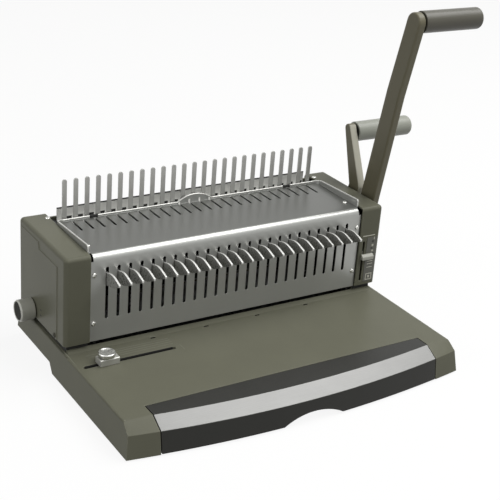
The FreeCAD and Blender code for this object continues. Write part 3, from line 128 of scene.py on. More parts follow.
@dataclass(frozen=True)
class Finish:
    """One surface finish: what the piece is made of and how its surface was made.

    The grain is a fine noise that gives bump and gloss breaks; the mottle is a broad, faint drift of colour.
    The colour of faces across one axis and of edges is painted light and shade.
    """

    name: str
    colour: str
    roughness: float
    metallic: float = 0.0
    run: Run = Run.EVEN
    grain_mm: float = 1.2
    depth_mm: float = 0.03
    gloss_break: float = 0.06
    streak: float = 0.0
    mottle: float = 0.05
    mottle_mm: float = 45.0
    # Lighter colour along the edges: a painted highlight
    edge_highlight_colour: str = ""
    edge_mm: float = 0.6
    # Colour of the faces across one axis, below a height: painted shade where it is darker, painted highlight
    # where it is lighter
    painted_light_colour: str = ""
    faced_axis: Point3 = (0.0, 0.0, 1.0)
    faced_from: float = 0.88
    faced_below_mm: float = 1000.0
    specular: float = 0.5

    def material(self) -> bpy.types.Material:
        """Make the material once and hand it out again afterwards.

        Returns:
            The material of this finish.
        """
        known = bpy.data.materials.get(self.name)
        if known:
            return known
        made = bpy.data.materials.new(self.name)
        made.use_nodes = True
        tree = made.node_tree
        tree.nodes.clear()
        spot = add(tree, "TexCoord").outputs["Object"]
        stretched = add(tree, "Mapping", {"Vector": spot, "Scale": self.run.value}).outputs["Vector"]
        grain = add(tree, "TexNoise", {"Vector": stretched, "Scale": 1 / (self.grain_mm * MM), "Detail": 2.0,
                                       "Roughness": 0.55}).outputs["Fac"]
        broad = add(tree, "TexNoise", {"Vector": spot, "Scale": 1 / (self.mottle_mm * MM),
                                       "Detail": 3.0}).outputs["Fac"]
        drift = add(tree, "MapRange", {"Value": broad, "From Min": 0.3, "From Max": 0.7}).outputs["Result"]
        tint = add(tree, "Mix", {"Factor": drift, "A": shade(self.colour, 1 - self.mottle),
                                 "B": shade(self.colour, 1 + self.mottle)},
                   data_type="RGBA").outputs["Result"]
        tint = self.marked(tree, tint, grain)
        low, high = max(0.02, self.roughness - self.gloss_break), min(1.0, self.roughness + self.gloss_break)
        gloss = add(tree, "MapRange", {"Value": grain, "From Min": 0.3, "From Max": 0.7, "To Min": low,
                                       "To Max": high}).outputs["Result"]
        bump = add(tree, "Bump", {"Height": grain, "Distance": self.depth_mm * MM, "Strength": 0.6})
        skin = add(tree, "BsdfPrincipled", {"Base Color": tint, "Roughness": gloss, "Metallic": self.metallic,
                                            "Specular IOR Level": self.specular,
                                            "Normal": bump.outputs["Normal"]})
        add(tree, "OutputMaterial", {"Surface": skin.outputs["BSDF"]})
        return made

    def marked(self, tree: bpy.types.NodeTree, tint: bpy.types.NodeSocket,
               grain: bpy.types.NodeSocket) -> bpy.types.NodeSocket:
        """Lay painted light and shade on the faces across one axis, streaks, and a painted highlight along
        the edges over the base colour.

        Args:
            tree: Node tree of the material.
            tint: Colour so far.
            grain: Fine pattern of the surface.

        Returns:
            Colour with its marks.
        """
        # Painted light and shade: faces across the axis, below the height, take the other colour
        if self.painted_light_colour:
            at = add(tree, "TexCoord").outputs
            along = add(tree, "VectorMath", {0: at["Normal"], 1: self.faced_axis}, operation="DOT_PRODUCT")
            level = add(tree, "Math", {0: along.outputs["Value"]}, operation="ABSOLUTE").outputs["Value"]
            across = add(tree, "MapRange", {"Value": level, "From Min": self.faced_from}).outputs["Result"]
            height = add(tree, "SeparateXYZ", {0: at["Object"]}).outputs["Z"]
            below = add(tree, "Math", {0: height, 1: self.faced_below_mm * MM}, operation="LESS_THAN")
            share = add(tree, "Math", {0: across, 1: below.outputs["Value"]},
                        operation="MULTIPLY").outputs["Value"]
            tint = add(tree, "Mix", {"Factor": share, "A": tint, "B": linear(self.painted_light_colour)},
                       data_type="RGBA").outputs["Result"]
        if self.streak:
            lines = add(tree, "MapRange", {"Value": grain, "From Min": 0.35, "From Max": 0.65,
                                           "To Min": 1 - self.streak,
                                           "To Max": 1 + self.streak}).outputs["Result"]
            tint = add(tree, "VectorMath", {0: tint, 1: lines}, operation="MULTIPLY").outputs["Vector"]
        # Painted highlight: the edges take the lighter colour
        if self.edge_highlight_colour:
            flat = add(tree, "NewGeometry").outputs["Normal"]
            softened = add(tree, "Bevel", {"Radius": self.edge_mm * MM}, samples=4).outputs["Normal"]
            along = add(tree, "VectorMath", {0: flat, 1: softened}, operation="DOT_PRODUCT").outputs["Value"]
            highlit_edges = add(tree, "MapRange", {"Value": along, "From Min": 0.99, "From Max": 0.85, "To Min": 0.0,
                                          "To Max": 0.6}).outputs["Result"]
            tint = add(tree, "Mix", {"Factor": highlit_edges, "A": tint, "B": linear(self.edge_highlight_colour)},
                       data_type="RGBA").outputs["Result"]
        return tint


# ABS moulded in a spark-eroded tool: satin, with a pebble finer than a pixel, drawn coarser so that it shows;
# its lighter edges are a painted highlight
OLIVE_ABS = Finish("abs_moulded_olive", "#676759", 0.34, grain_mm=1.1, depth_mm=0.02, gloss_break=0.05,
                   mottle=0.03, edge_highlight_colour="#8f8e80", edge_mm=1.3, specular=0.08)
# The same ABS on laid-in pieces, without the painted highlight on the edges
PLAIN_ABS = replace(OLIVE_ABS, name="abs_moulded_olive_plain", edge_highlight_colour="")
# The same ABS from another batch: greyer, and smoother where it is turned by hand
KNOB_ABS = Finish("abs_moulded_grey_olive", "#b4b4aa", 0.36, grain_mm=1.0, depth_mm=0.02, mottle=0.03,
                  specular=0.3)
# Chamfer of the knob: pale, a painted highlight that reads as a crescent of light
RIM_HIGHLIGHT_ABS = Finish("abs_pale_painted_highlight", "#cfcfc6", 0.22, grain_mm=1.5, depth_mm=0.004, mottle=0.03,
                 mottle_mm=8.0)
# Cap pressed into the knob: dark and dull
CAP_ABS = Finish("abs_moulded_dark_cap", "#2c2c29", 0.62, grain_mm=1.0, depth_mm=0.03, mottle=0.05,
                 mottle_mm=8.0, specular=0.06)
# Powder coat on a steel arm: slight orange peel, broad soft highlights; its lighter edges are a painted
# highlight
ARM_PAINT = Finish("steel_powder_coated_olive", "#66624f", 0.38, grain_mm=2.2, depth_mm=0.03, mottle=0.03,
                   edge_highlight_colour="#77766a", specular=0.3)
# The same coat on the short arm, paler on its front and back: a painted highlight
ARM_PAINT_HIGHLIT = replace(ARM_PAINT, name="steel_powder_coated_painted_highlight", painted_light_colour="#c0beaf",
                       faced_axis=(0.0, 1.0, 0.0), faced_from=0.35)
# Moulded vinyl grips, one olive and one grey: smooth, a little waxy
GRIP_OLIVE = Finish("vinyl_moulded_olive", "#55534a", 0.34, grain_mm=1.6, depth_mm=0.015, mottle=0.03,
                    specular=0.3)
GRIP_GREY = replace(GRIP_OLIVE, name="vinyl_moulded_grey", colour="#97998f", roughness=0.36)
# Dark ABS of the drawer: dull, with the same pebble; its lighter edges are a painted highlight
CHARCOAL_ABS = Finish("abs_moulded_charcoal", "#2e2e2b", 0.42, grain_mm=1.1, depth_mm=0.03, mottle=0.05,
                      edge_highlight_colour="#55554e", specular=0.2)
# Silver lacquer on the band, brushed along it before lacquering
SILVER_BAND = Finish("lacquer_brushed_silver", "#828280", 0.44, metallic=0.28, run=Run.ALONG_X,
                     grain_mm=0.9, depth_mm=0.01, streak=0.05, mottle=0.03)
# Stainless sheet, belt-ground along its length: long faint lines and a bright bend; its upward faces below
# the lip tops take a darker colour, a painted shade
COVER_STEEL = Finish("stainless_belt_ground", "#a9aaa6", 0.29, metallic=0.45, run=Run.ALONG_X, grain_mm=0.9,
                     depth_mm=0.0004, gloss_break=0.012, streak=0.008, mottle=0.02, painted_light_colour="#686965",
                     faced_below_mm=154.5)
# Hem folded along the lips of the cover: a bright line from end to end, its pale colour partly a painted
# highlight
HEM_STEEL = Finish("stainless_folded_hem", "#cdcdc8", 0.30, metallic=0.35, grain_mm=2.0, depth_mm=0.001,
                   mottle=0.03)
# Bright-rolled strip behind the fingers: pale, with faint lines along it
STRIP_STEEL = Finish("steel_bright_rolled", "#dcdcd8", 0.38, metallic=0.2, run=Run.ALONG_X, grain_mm=1.0,
                     depth_mm=0.006, streak=0.04, mottle=0.03)
# Spring steel fingers, tumbled: even satin
FINGER_STEEL = Finish("spring_steel_tumbled", "#b5b5b1", 0.38, metallic=0.5, grain_mm=0.9, depth_mm=0.01,
                      mottle=0.05, mottle_mm=12.0)
# Nickel-plated noses of the pins: bright on their upper edge; their sides along X take a darker colour, a
# painted shade
NOSE_NICKEL = Finish("nickel_plated_noses", "#d6d6d2", 0.29, metallic=0.4, grain_mm=2.5, depth_mm=0.001,
                     mottle=0.03, painted_light_colour="#8e8e8a", faced_axis=(1.0, 0.0, 0.0), faced_from=0.6)
# Near-black glossy slab in the sight windows: a painted shade for their dark inside
WINDOW_SHADE = Finish("window_painted_shade", "#1d1d1a", 0.22, grain_mm=2.0, depth_mm=0.002, mottle=0.05,
                     mottle_mm=4.0)
# Satin chrome plate: bright rim, soft reflections
CHROME = Finish("chrome_plated_satin", "#d4d4d0", 0.20, metallic=0.85, grain_mm=3.0, depth_mm=0.001,
                gloss_break=0.03, mottle=0.02)
# Nickel plate on the guide block, tumbled before plating: bright but soft
GUIDE_NICKEL = Finish("nickel_plated_guide", "#bcbcb6", 0.36, metallic=0.45, grain_mm=2.5, depth_mm=0.001,
                      mottle=0.04)
# Zinc-plated screw heads: bright, slightly clouded
SCREW_ZINC = Finish("zinc_plated_bright", "#cfcfca", 0.24, metallic=1.0, grain_mm=0.8, depth_mm=0.004,
                    mottle=0.06, mottle_mm=3.0)
# Screws lacquered to match the cover: dark, half hidden
SCREW_LACQUER = Finish("steel_lacquered_olive", "#45443a", 0.45, grain_mm=0.8, depth_mm=0.004, mottle=0.06,
                       mottle_mm=3.0, specular=0.2)
# Blackened sheet of the side plates: dark, softly clouded; their black also stands in for the shade inside
# the throat
BLACK_SHEET = Finish("sheet_blackened_and_painted_shade", "#2a2a28", 0.45, metallic=0.5, grain_mm=2.0, depth_mm=0.006,
                     mottle=0.10, mottle_mm=9.0)
# Black oxide on turned steel: near black, oily sheen
BLACK_OXIDE = Finish("steel_black_oxide", "#262623", 0.35, metallic=0.7, grain_mm=0.8, depth_mm=0.006,
                     mottle=0.08, mottle_mm=8.0)
# Turned and ground shafts: grey, with faint lines
GROUND_STEEL = Finish("steel_ground", "#8d8e8c", 0.30, metallic=1.0, run=Run.ALONG_Z, grain_mm=0.8,
                      depth_mm=0.006, streak=0.04, mottle=0.04)
# Milled bars of tool steel, oiled: darker, with cutter marks along them; in the throat their dark colour also
# stands in for shade
MILLED_STEEL = Finish("tool_steel_browned_and_painted_shade", "#2c2c2a", 0.42, metallic=1.0, run=Run.ALONG_X,
                      grain_mm=1.4, depth_mm=0.012, streak=0.08, mottle=0.05)
# Zinc-coated sheet: pale grey with soft spangle
ZINC_SHEET = Finish("sheet_zinc_coated", "#9fa2a2", 0.42, metallic=0.9, grain_mm=2.0, depth_mm=0.006,
                    mottle=0.10, mottle_mm=9.0)
# Sintered bronze: matt and pored
BRONZE = Finish("bronze_sintered", "#8a6a41", 0.48, metallic=1.0, grain_mm=0.7, depth_mm=0.02, mottle=0.06,
                mottle_mm=6.0)
# Moulded nitrile rubber: black, matt; the same black is painted shade on the blocks set into the slot, the
# notches, the plinths and at the strip's foot
RUBBER_AND_SHADE = Finish("rubber_black_and_painted_shade", "#20201e", 0.80, grain_mm=1.2, depth_mm=0.05, mottle=0.08,
                mottle_mm=10.0)
# Pale moulded tab of the selector: lighter at its edges, a painted highlight
TAB_ABS = Finish("abs_moulded_pale_grey", "#a5a59b", 0.38, grain_mm=1.0, depth_mm=0.02, mottle=0.03,
                 edge_highlight_colour="#c2c2b9")
# Film behind the selector's marks: smooth, a little darker than the cover
SCALE_FILM = Finish("film_printed_grey_olive", "#585850", 0.42, grain_mm=1.5, depth_mm=0.004, mottle=0.03)
# Screen-printed inks, pale, dark and faint: matt, a touch uneven
PALE_INK = Finish("ink_screen_printed_pale", "#bdbcaf", 0.60, grain_mm=0.8, depth_mm=0.002, mottle=0.08,
                  mottle_mm=2.5)
DARK_INK = replace(PALE_INK, name="ink_screen_printed_dark", colour="#2b2b26")
FAINT_INK = replace(PALE_INK, name="ink_screen_printed_faint", colour="#6c6c5e", roughness=0.50)


# Meshes

def level_shaded(mesh: bpy.types.Mesh) -> bpy.types.Mesh:
    """Let the large faces set the shading at their rims, so that flats stay flat beside eased edges.

    Args:
        mesh: Mesh to shade; it is removed.

    Returns:
        The same mesh with its own corner normals.
    """
    name = mesh.name
    holder = bpy.data.objects.new(name, mesh)
    bpy.context.scene.collection.objects.link(holder)
    holder.modifiers.new("weigh", "WEIGHTED_NORMAL").keep_sharp = True
    made = bpy.data.meshes.new_from_object(holder.evaluated_get(bpy.context.evaluated_depsgraph_get()))
    bpy.data.objects.remove(holder)
    bpy.data.meshes.remove(mesh)
    made.name = name
    return made


def mesh_from(bm: bmesh.types.BMesh, name: str) -> bpy.types.Mesh:
    """Turn an edit mesh into a mesh whose gentle edges shade smooth.

    Args:
        bm: Edit mesh in metres; it is freed.
        name: Name of the mesh.

    Returns:
        The mesh.
    """
    bmesh.ops.recalc_face_normals(bm, faces=bm.faces)
    limit = math.radians(SMOOTH_DEG)
    for face in bm.faces:
        face.smooth = True
    for edge in bm.edges:
        edge.smooth = len(edge.link_faces) == 2 and edge.calc_face_angle(0.0) < limit
    mesh = bpy.data.meshes.new(name)
    bm.to_mesh(mesh)
    bm.free()
    return level_shaded(mesh)


def trim(bm: bmesh.types.BMesh, point: Point3, outward: Point3) -> None:
    """Cut off what lies beyond a plane and close the cut.

    Args:
        bm: Edit mesh to cut.
        point: Point of the plane in millimetres.
        outward: Direction of the side that goes.
    """
    bmesh.ops.bisect_plane(bm, geom=bm.verts[:] + bm.edges[:] + bm.faces[:], plane_co=Vector(point) * MM,
                           plane_no=outward, clear_outer=True)
    bmesh.ops.holes_fill(bm, edges=[edge for edge in bm.edges if edge.is_boundary])


def ease_edges(bm: bmesh.types.BMesh, width_mm: float, segments: int = 2) -> None:
    """Round the sharp edges of an edit mesh.

    Args:
        bm: Edit mesh whose faces look outward.
        width_mm: How far the rounding reaches on each face.
        segments: Steps of the rounding.
    """
    limit = math.radians(SHARP_DEG)
    sharp = [edge for edge in bm.edges if edge.is_manifold and edge.calc_face_angle(0.0) > limit]
    bmesh.ops.bevel(bm, geom=sharp, offset=width_mm * MM, offset_type="OFFSET", segments=segments,
                    profile=0.5, affect="EDGES", clamp_overlap=False)


def eased(node: str, width_mm: float, segments: int = 2, trims: Sequence[Tuple[Point3, Point3]] = (),
          lift: Point3 = (0.0, 0.0, 0.0)) -> bmesh.types.BMesh:
    """Copy a CAD node with its sharp edges eased, as a tool or a deburring wheel leaves them.

    Args:
        node: Name of the CAD node.
        width_mm: How far the rounding reaches on each face.
        segments: Steps of the rounding.
        trims: Planes to cut it along first, as point and outward direction.
        lift: Points between the first two heights go up by the third, in millimetres.

    Returns:
        The edit mesh.
    """
    bm = bmesh.new()
    bm.from_mesh(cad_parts[node].data)
    bmesh.ops.remove_doubles(bm, verts=bm.verts, dist=MERGE_MM * MM)
    bmesh.ops.dissolve_limit(bm, angle_limit=math.radians(FLAT_DEG), verts=bm.verts, edges=bm.edges)
    for point, outward in trims:
        trim(bm, point, outward)
    for vert in bm.verts:
        if lift[0] * MM < vert.co.z < lift[1] * MM:
            vert.co.z += lift[2] * MM
    ease_edges(bm, width_mm, segments)
    return bm


def slab(bm: bmesh.types.BMesh, low: Point3, high: Point3) -> None:
    """Add a closed block.

    Args:
        bm: Edit mesh to add to.
        low: Its left, front, low corner in millimetres.
        high: Its right, rear, high corner in millimetres.
    """
    size = Vector(high) - Vector(low)
    middle = (Vector(high) + Vector(low)) / 2
    grown = Matrix.Translation(middle * MM) @ Matrix.Diagonal((size * MM).to_4d())
    bmesh.ops.create_cube(bm, size=1.0, matrix=grown)


def turned(bm: bmesh.types.BMesh, profile: Sequence[Point2], seat: Matrix, steps: int = 40) -> None:
    """Add a lathe-turned solid.

    Args:
        bm: Edit mesh to add to.
        profile: (radius, height) points in millimetres from one end of the axis to the other.
        seat: Places the axis, which is the local Z.
        steps: Facets round the axis.
    """
    turns = [2 * math.pi * step / steps for step in range(steps)]
    rings: List[List[bmesh.types.BMVert]] = []
    for radius, height in profile:
        if radius <= 0:
            rings.append([bm.verts.new(seat @ Vector((0, 0, height * MM)))])
            continue
        spots = [Vector((radius * math.cos(turn), radius * math.sin(turn), height)) * MM for turn in turns]
        rings.append([bm.verts.new(seat @ spot) for spot in spots])
    for low, high in zip(rings, rings[1:]):
        for step in range(steps):
            ahead = (step + 1) % steps
            corners = [low[step % len(low)], low[ahead % len(low)],
                       high[ahead % len(high)], high[step % len(high)]]
            unique = list(dict.fromkeys(corners))
            if len(unique) > 2:
                bm.faces.new(unique)


def swept(bm: bmesh.types.BMesh, rings: Sequence[Sequence[Vector]], seat: Matrix = HERE) -> None:
    """Add a closed solid through a row of like rings of points.

    Args:
        bm: Edit mesh to add to.
        rings: Points in millimetres, ring by ring.
        seat: Places the points in the frame.
    """
    loops = [[bm.verts.new(seat @ (point * MM)) for point in ring] for ring in rings]
    for low, high in zip(loops, loops[1:]):
        for at in range(len(low)):
            after = (at + 1) % len(low)
            bm.faces.new([low[at], low[after], high[after], high[at]])
    bm.faces.new(loops[0])
    bm.faces.new(list(reversed(loops[-1])))


def prism(bm: bmesh.types.BMesh, outline: Sequence[Point2], left: float, right: float) -> None:
    """Add a closed solid with one (y, z) outline from one x to another, in millimetres."""
    swept(bm, [[Vector((x, y, z)) for y, z in outline] for x in (left, right)])


def bead(bm: bmesh.types.BMesh, path: Sequence[Vector], radius: float, steps: int = 12) -> None:
    """Add a round bead along a path in millimetres.

    Args:
        bm: Edit mesh to add to.
        path: Middle line of the bead.
        radius: Its radius.
        steps: Facets round it.
    """
    rings = []
    side = Vector((0.31, 0.67, 0.67))
    for at, point in enumerate(path):
        way = (path[min(at + 1, len(path) - 1)] - path[max(at - 1, 0)]).normalized()
        side = (side - way * side.dot(way)).normalized()
        rings.append([point + (Matrix.Rotation(2 * math.pi * step / steps, 3, way) @ side) * radius
                      for step in range(steps)])
    swept(bm, rings)


def seat_on(point: Point3, axis: Point3) -> Matrix:
    """Stand a local Z axis at a point, both in the frame, the point in millimetres."""
    upright = Vector(axis).to_track_quat("Z", "Y").to_matrix().to_4x4()
    return Matrix.Translation(Vector(point) * MM) @ upright


# Pieces

def place(name: str, mesh: bpy.types.Mesh, body: str, finish: Finish,
          stands_for: Iterable[str] = ()) -> None:
    """Put a mesh into the scene as a piece of the object.

    Args:
        name: Name of the piece.
        mesh: Its mesh, in the frame's own place.
        body: CAD body that it moves with.
        finish: Its finish.
        stands_for: CAD nodes that it replaces.
    """
    piece = bpy.data.objects.new(name, mesh)
    bpy.context.scene.collection.objects.link(piece)
    mesh.materials.clear()
    mesh.materials.append(finish.material())
    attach(piece, body)
    if stands_for:
        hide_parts(*stands_for)
    log.info("%s rides on %s, %d faces", name, body, len(mesh.polygons))


def paint(node: str, finish: Finish) -> None:
    """Give a CAD node its finish.

    Args:
        node: Name of the CAD node.
        finish: Its finish.
    """
    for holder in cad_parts[node].material_slots:
        holder.material = finish.material()
    log.info("%s keeps its CAD shape", node)


# Sub-assemblies

@dataclass
class Assembly:
    """A sub-assembly that builds its own meshes and dresses the CAD nodes it keeps.

    Sizes and places are in millimetres, in the frame of the part.
    """

    body: str = "frame"
    kept: Dict[str, Finish] = field(default_factory=dict)

    def build(self) -> None:
        """Build the meshes of this sub-assembly."""

    def dress(self) -> None:
        """Give the CAD nodes that stay in sight their finishes."""
        for node, finish in self.kept.items():
            paint(node, finish)

    def fit(self, bm: bmesh.types.BMesh, name: str, slot: str, finish: Finish,
            stands_for: Iterable[str] = ()) -> None:
        """Make an edit mesh a piece that rides on this sub-assembly's body.

        Args:
            bm: Edit mesh of the piece; it is freed.
            name: Name of the piece.
            slot: Material slot of the record; not used.
            finish: Its finish.
            stands_for: CAD nodes that it replaces.
        """
        place(name, mesh_from(bm, name), self.body, finish, stands_for)

    def ease(self, node: str, name: str, slot: str, finish: Finish, width_mm: float,
             segments: int = 2) -> None:
        """Replace a CAD node by its own shape with eased edges.

        Args:
            node: CAD node to stand for.
            name: Name of the new piece.
            slot: Material slot of the record; not used.
            finish: Its finish.
            width_mm: Width of the easing.
            segments: Steps of the easing.
        """
        self.fit(eased(node, width_mm, segments), name, slot, finish, [node])


@dataclass
class Housing(Assembly):
    """Base, end covers, rear panel, feet and what is printed on them."""

    # The black of the side plates also stands in for the shade inside the throat
    kept: Dict[str, Finish] = field(default_factory=lambda: {
        "side_plate_left": BLACK_SHEET, "side_plate_right": BLACK_SHEET, "gear_bracket": ZINC_SHEET,
        "shaft_bushes": BRONZE})
    base_edge: float = 0.4
    cover_edge: float = 0.5
    panel_edge: float = 0.4
    foot_places: Tuple[Point2, ...] = ((0, 0), (-190, -115), (190, -115), (-190, 110), (190, 110))
    foot_radius: float = 9.0
    foot_height: float = 2.0
    foot_chamfer: float = 0.6
    foot_rim: float = 4.0
    foot_dish: float = 0.5
    deck_z: float = 38.0
    ink: float = 0.05
    window_pitch: float = 71.4
    window_half: float = 3.1
    window_shade_y: Point2 = (-8.0, -5.2)
    window_shade_drop: Point2 = (1.4, 0.5)
    window_shade_edge: float = 0.15
    slot_shade_x: Point2 = (-206.3, -96.7)
    slot_shade_y: Point2 = (-35.45, -35.1)
    slot_shade_drop: Point2 = (3.0, 0.1)
    slot_shade_edge: float = 0.05
    skirt_lift: Point3 = (42.5, 46.5, 3.8)
    ramp: Tuple[Point2, ...] = ((-4.7, 0.0), (-4.5, 0.12), (1.5, 2.45), (2.1, 2.6), (2.4, 2.3), (2.4, 0.0))
    ramp_half: float = 212.0
    plinth_x: Point2 = (185.8, 211.9)
    plinth_y: Point2 = (3.0, 126.0)
    plinth_shade_front: float = 0.5
    plinth_shade_side: float = 0.4
    plinth_shade_high: float = 8.4
    paper_lines: int = 4
    paper_line_x: Point2 = (-196.0, -92.0)
    paper_line_y: float = -15.0
    paper_line_step: Point2 = (6.0, -4.4)
    paper_line_half: float = 0.45
    paper_mark: Rect = (-87.0, -46.0, -86.2, -34.0)
    tick_x: float = -217.5
    tick_y: Point2 = (60.8, 64.6)
    tick_z: Point2 = (63.7, 56.9)
    tick_half: float = 0.9

    def build(self) -> None:
        """Build mouldings, feet and printed marks."""
        self.ease("base_shell", "base_moulding", "moulded_olive", OLIVE_ABS, self.base_edge)
        for side in ("left", "right"):
            bm = eased("end_cover_" + side, self.cover_edge, lift=self.skirt_lift)
            self.fit(bm, side + "_end_moulding", "moulded_olive", OLIVE_ABS, ["end_cover_" + side])
        self.ease("rear_panel", "rear_moulding", "moulded_olive", OLIVE_ABS, self.panel_edge)
        self.ease("bottom_plate", "bottom_sheet", "zinc_sheet", ZINC_SHEET, self.panel_edge)
        self.feet()
        self.windows()
        self.slot_painted_shade()
        self.throat_ramp()
        self.plinth_shade()
        self.deck_print()
        self.knob_print()

    def feet(self) -> None:
        """Turn the five rubber feet, each chamfered and dished underneath."""
        bm = bmesh.new()
        r, h, c = self.foot_radius, self.foot_height, self.foot_chamfer
        rim, dish = self.foot_rim, self.foot_dish
        profile = [(0, dish), (r - rim, dish), (r - rim + c, 0), (r - c, 0), (r, c), (r, h), (0, h)]
        for x, y in self.foot_places:
            turned(bm, profile, seat_on((x, y, 0), (0, 0, 1)))
        self.fit(bm, "foot_pads", "foot_rubber", RUBBER_AND_SHADE, ["rubber_feet"])

    def windows(self) -> None:
        """Set a near-black slab into each sight window of the deck: a painted shade for its dark inside."""
        bm = bmesh.new()
        (front, rear), (low, high) = self.window_shade_y, (self.deck_z - drop for drop in self.window_shade_drop)
        for step in (-1.5, -0.5, 0.5, 1.5):
            x = step * self.window_pitch
            slab(bm, (x - self.window_half, front, low), (x + self.window_half, rear, high))
        ease_edges(bm, self.window_shade_edge)
        self.fit(bm, "window_shade_slabs", "moulded_olive", WINDOW_SHADE)

    def slot_painted_shade(self) -> None:
        """Set a black sheet against the rear wall of the guide slot: a painted shade for the slot's dark
        inside.
        """
        bm = bmesh.new()
        ends = zip(self.slot_shade_x, self.slot_shade_y, self.slot_shade_drop)
        low, high = ((x, y, self.deck_z - drop) for x, y, drop in ends)
        slab(bm, low, high)
        ease_edges(bm, self.slot_shade_edge, 1)
        self.fit(bm, "slot_painted_shade", "moulded_olive", RUBBER_AND_SHADE)

    def throat_ramp(self) -> None:
        """Lay the low ramp that leads the paper into the throat."""
        bm = bmesh.new()
        prism(bm, [(y, self.deck_z + z) for y, z in self.ramp], -self.ramp_half, self.ramp_half)
        self.fit(bm, "throat_ramp", "moulded_olive", PLAIN_ABS)

    def plinth_shade(self) -> None:
        """Set a black strip against the plinth of each end cover, in front and outside: a painted shade under
        the cover.
        """
        bm = bmesh.new()
        (inner, outer), (front, rear) = self.plinth_x, self.plinth_y
        runs = ((inner, outer, front - self.plinth_shade_front, front),
                (outer - self.plinth_shade_side, outer, front, rear))
        for side in (-1, 1):
            for near, far, ahead, behind in runs:
                left, right = sorted((side * near, side * far))
                slab(bm, (left, ahead, self.deck_z), (right, behind, self.deck_z + self.plinth_shade_high))
        self.fit(bm, "plinth_painted_shade", "foot_rubber", RUBBER_AND_SHADE)

    def deck_print(self) -> None:
        """Print the faint paper-size lines beside the guide slot."""
        bm = bmesh.new()
        low, high = self.deck_z, self.deck_z + self.ink
        (start, end), (shift, drop), half = self.paper_line_x, self.paper_line_step, self.paper_line_half
        for row in range(self.paper_lines):
            y = self.paper_line_y + drop * row
            slab(bm, (start + shift * row, y - half, low), (end, y + half, high))
        left, front, right, rear = self.paper_mark
        slab(bm, (left, front, low), (right, rear, high))
        self.fit(bm, "deck_lines", "moulded_olive", FAINT_INK)

    def knob_print(self) -> None:
        """Print the two dark ticks that the depth knob is read against."""
        bm = bmesh.new()
        for z in self.tick_z:
            slab(bm, (self.tick_x - self.ink, self.tick_y[0], z - self.tick_half),
                 (self.tick_x, self.tick_y[1], z + self.tick_half))
        self.fit(bm, "depth_ticks", "moulded_olive", DARK_INK)


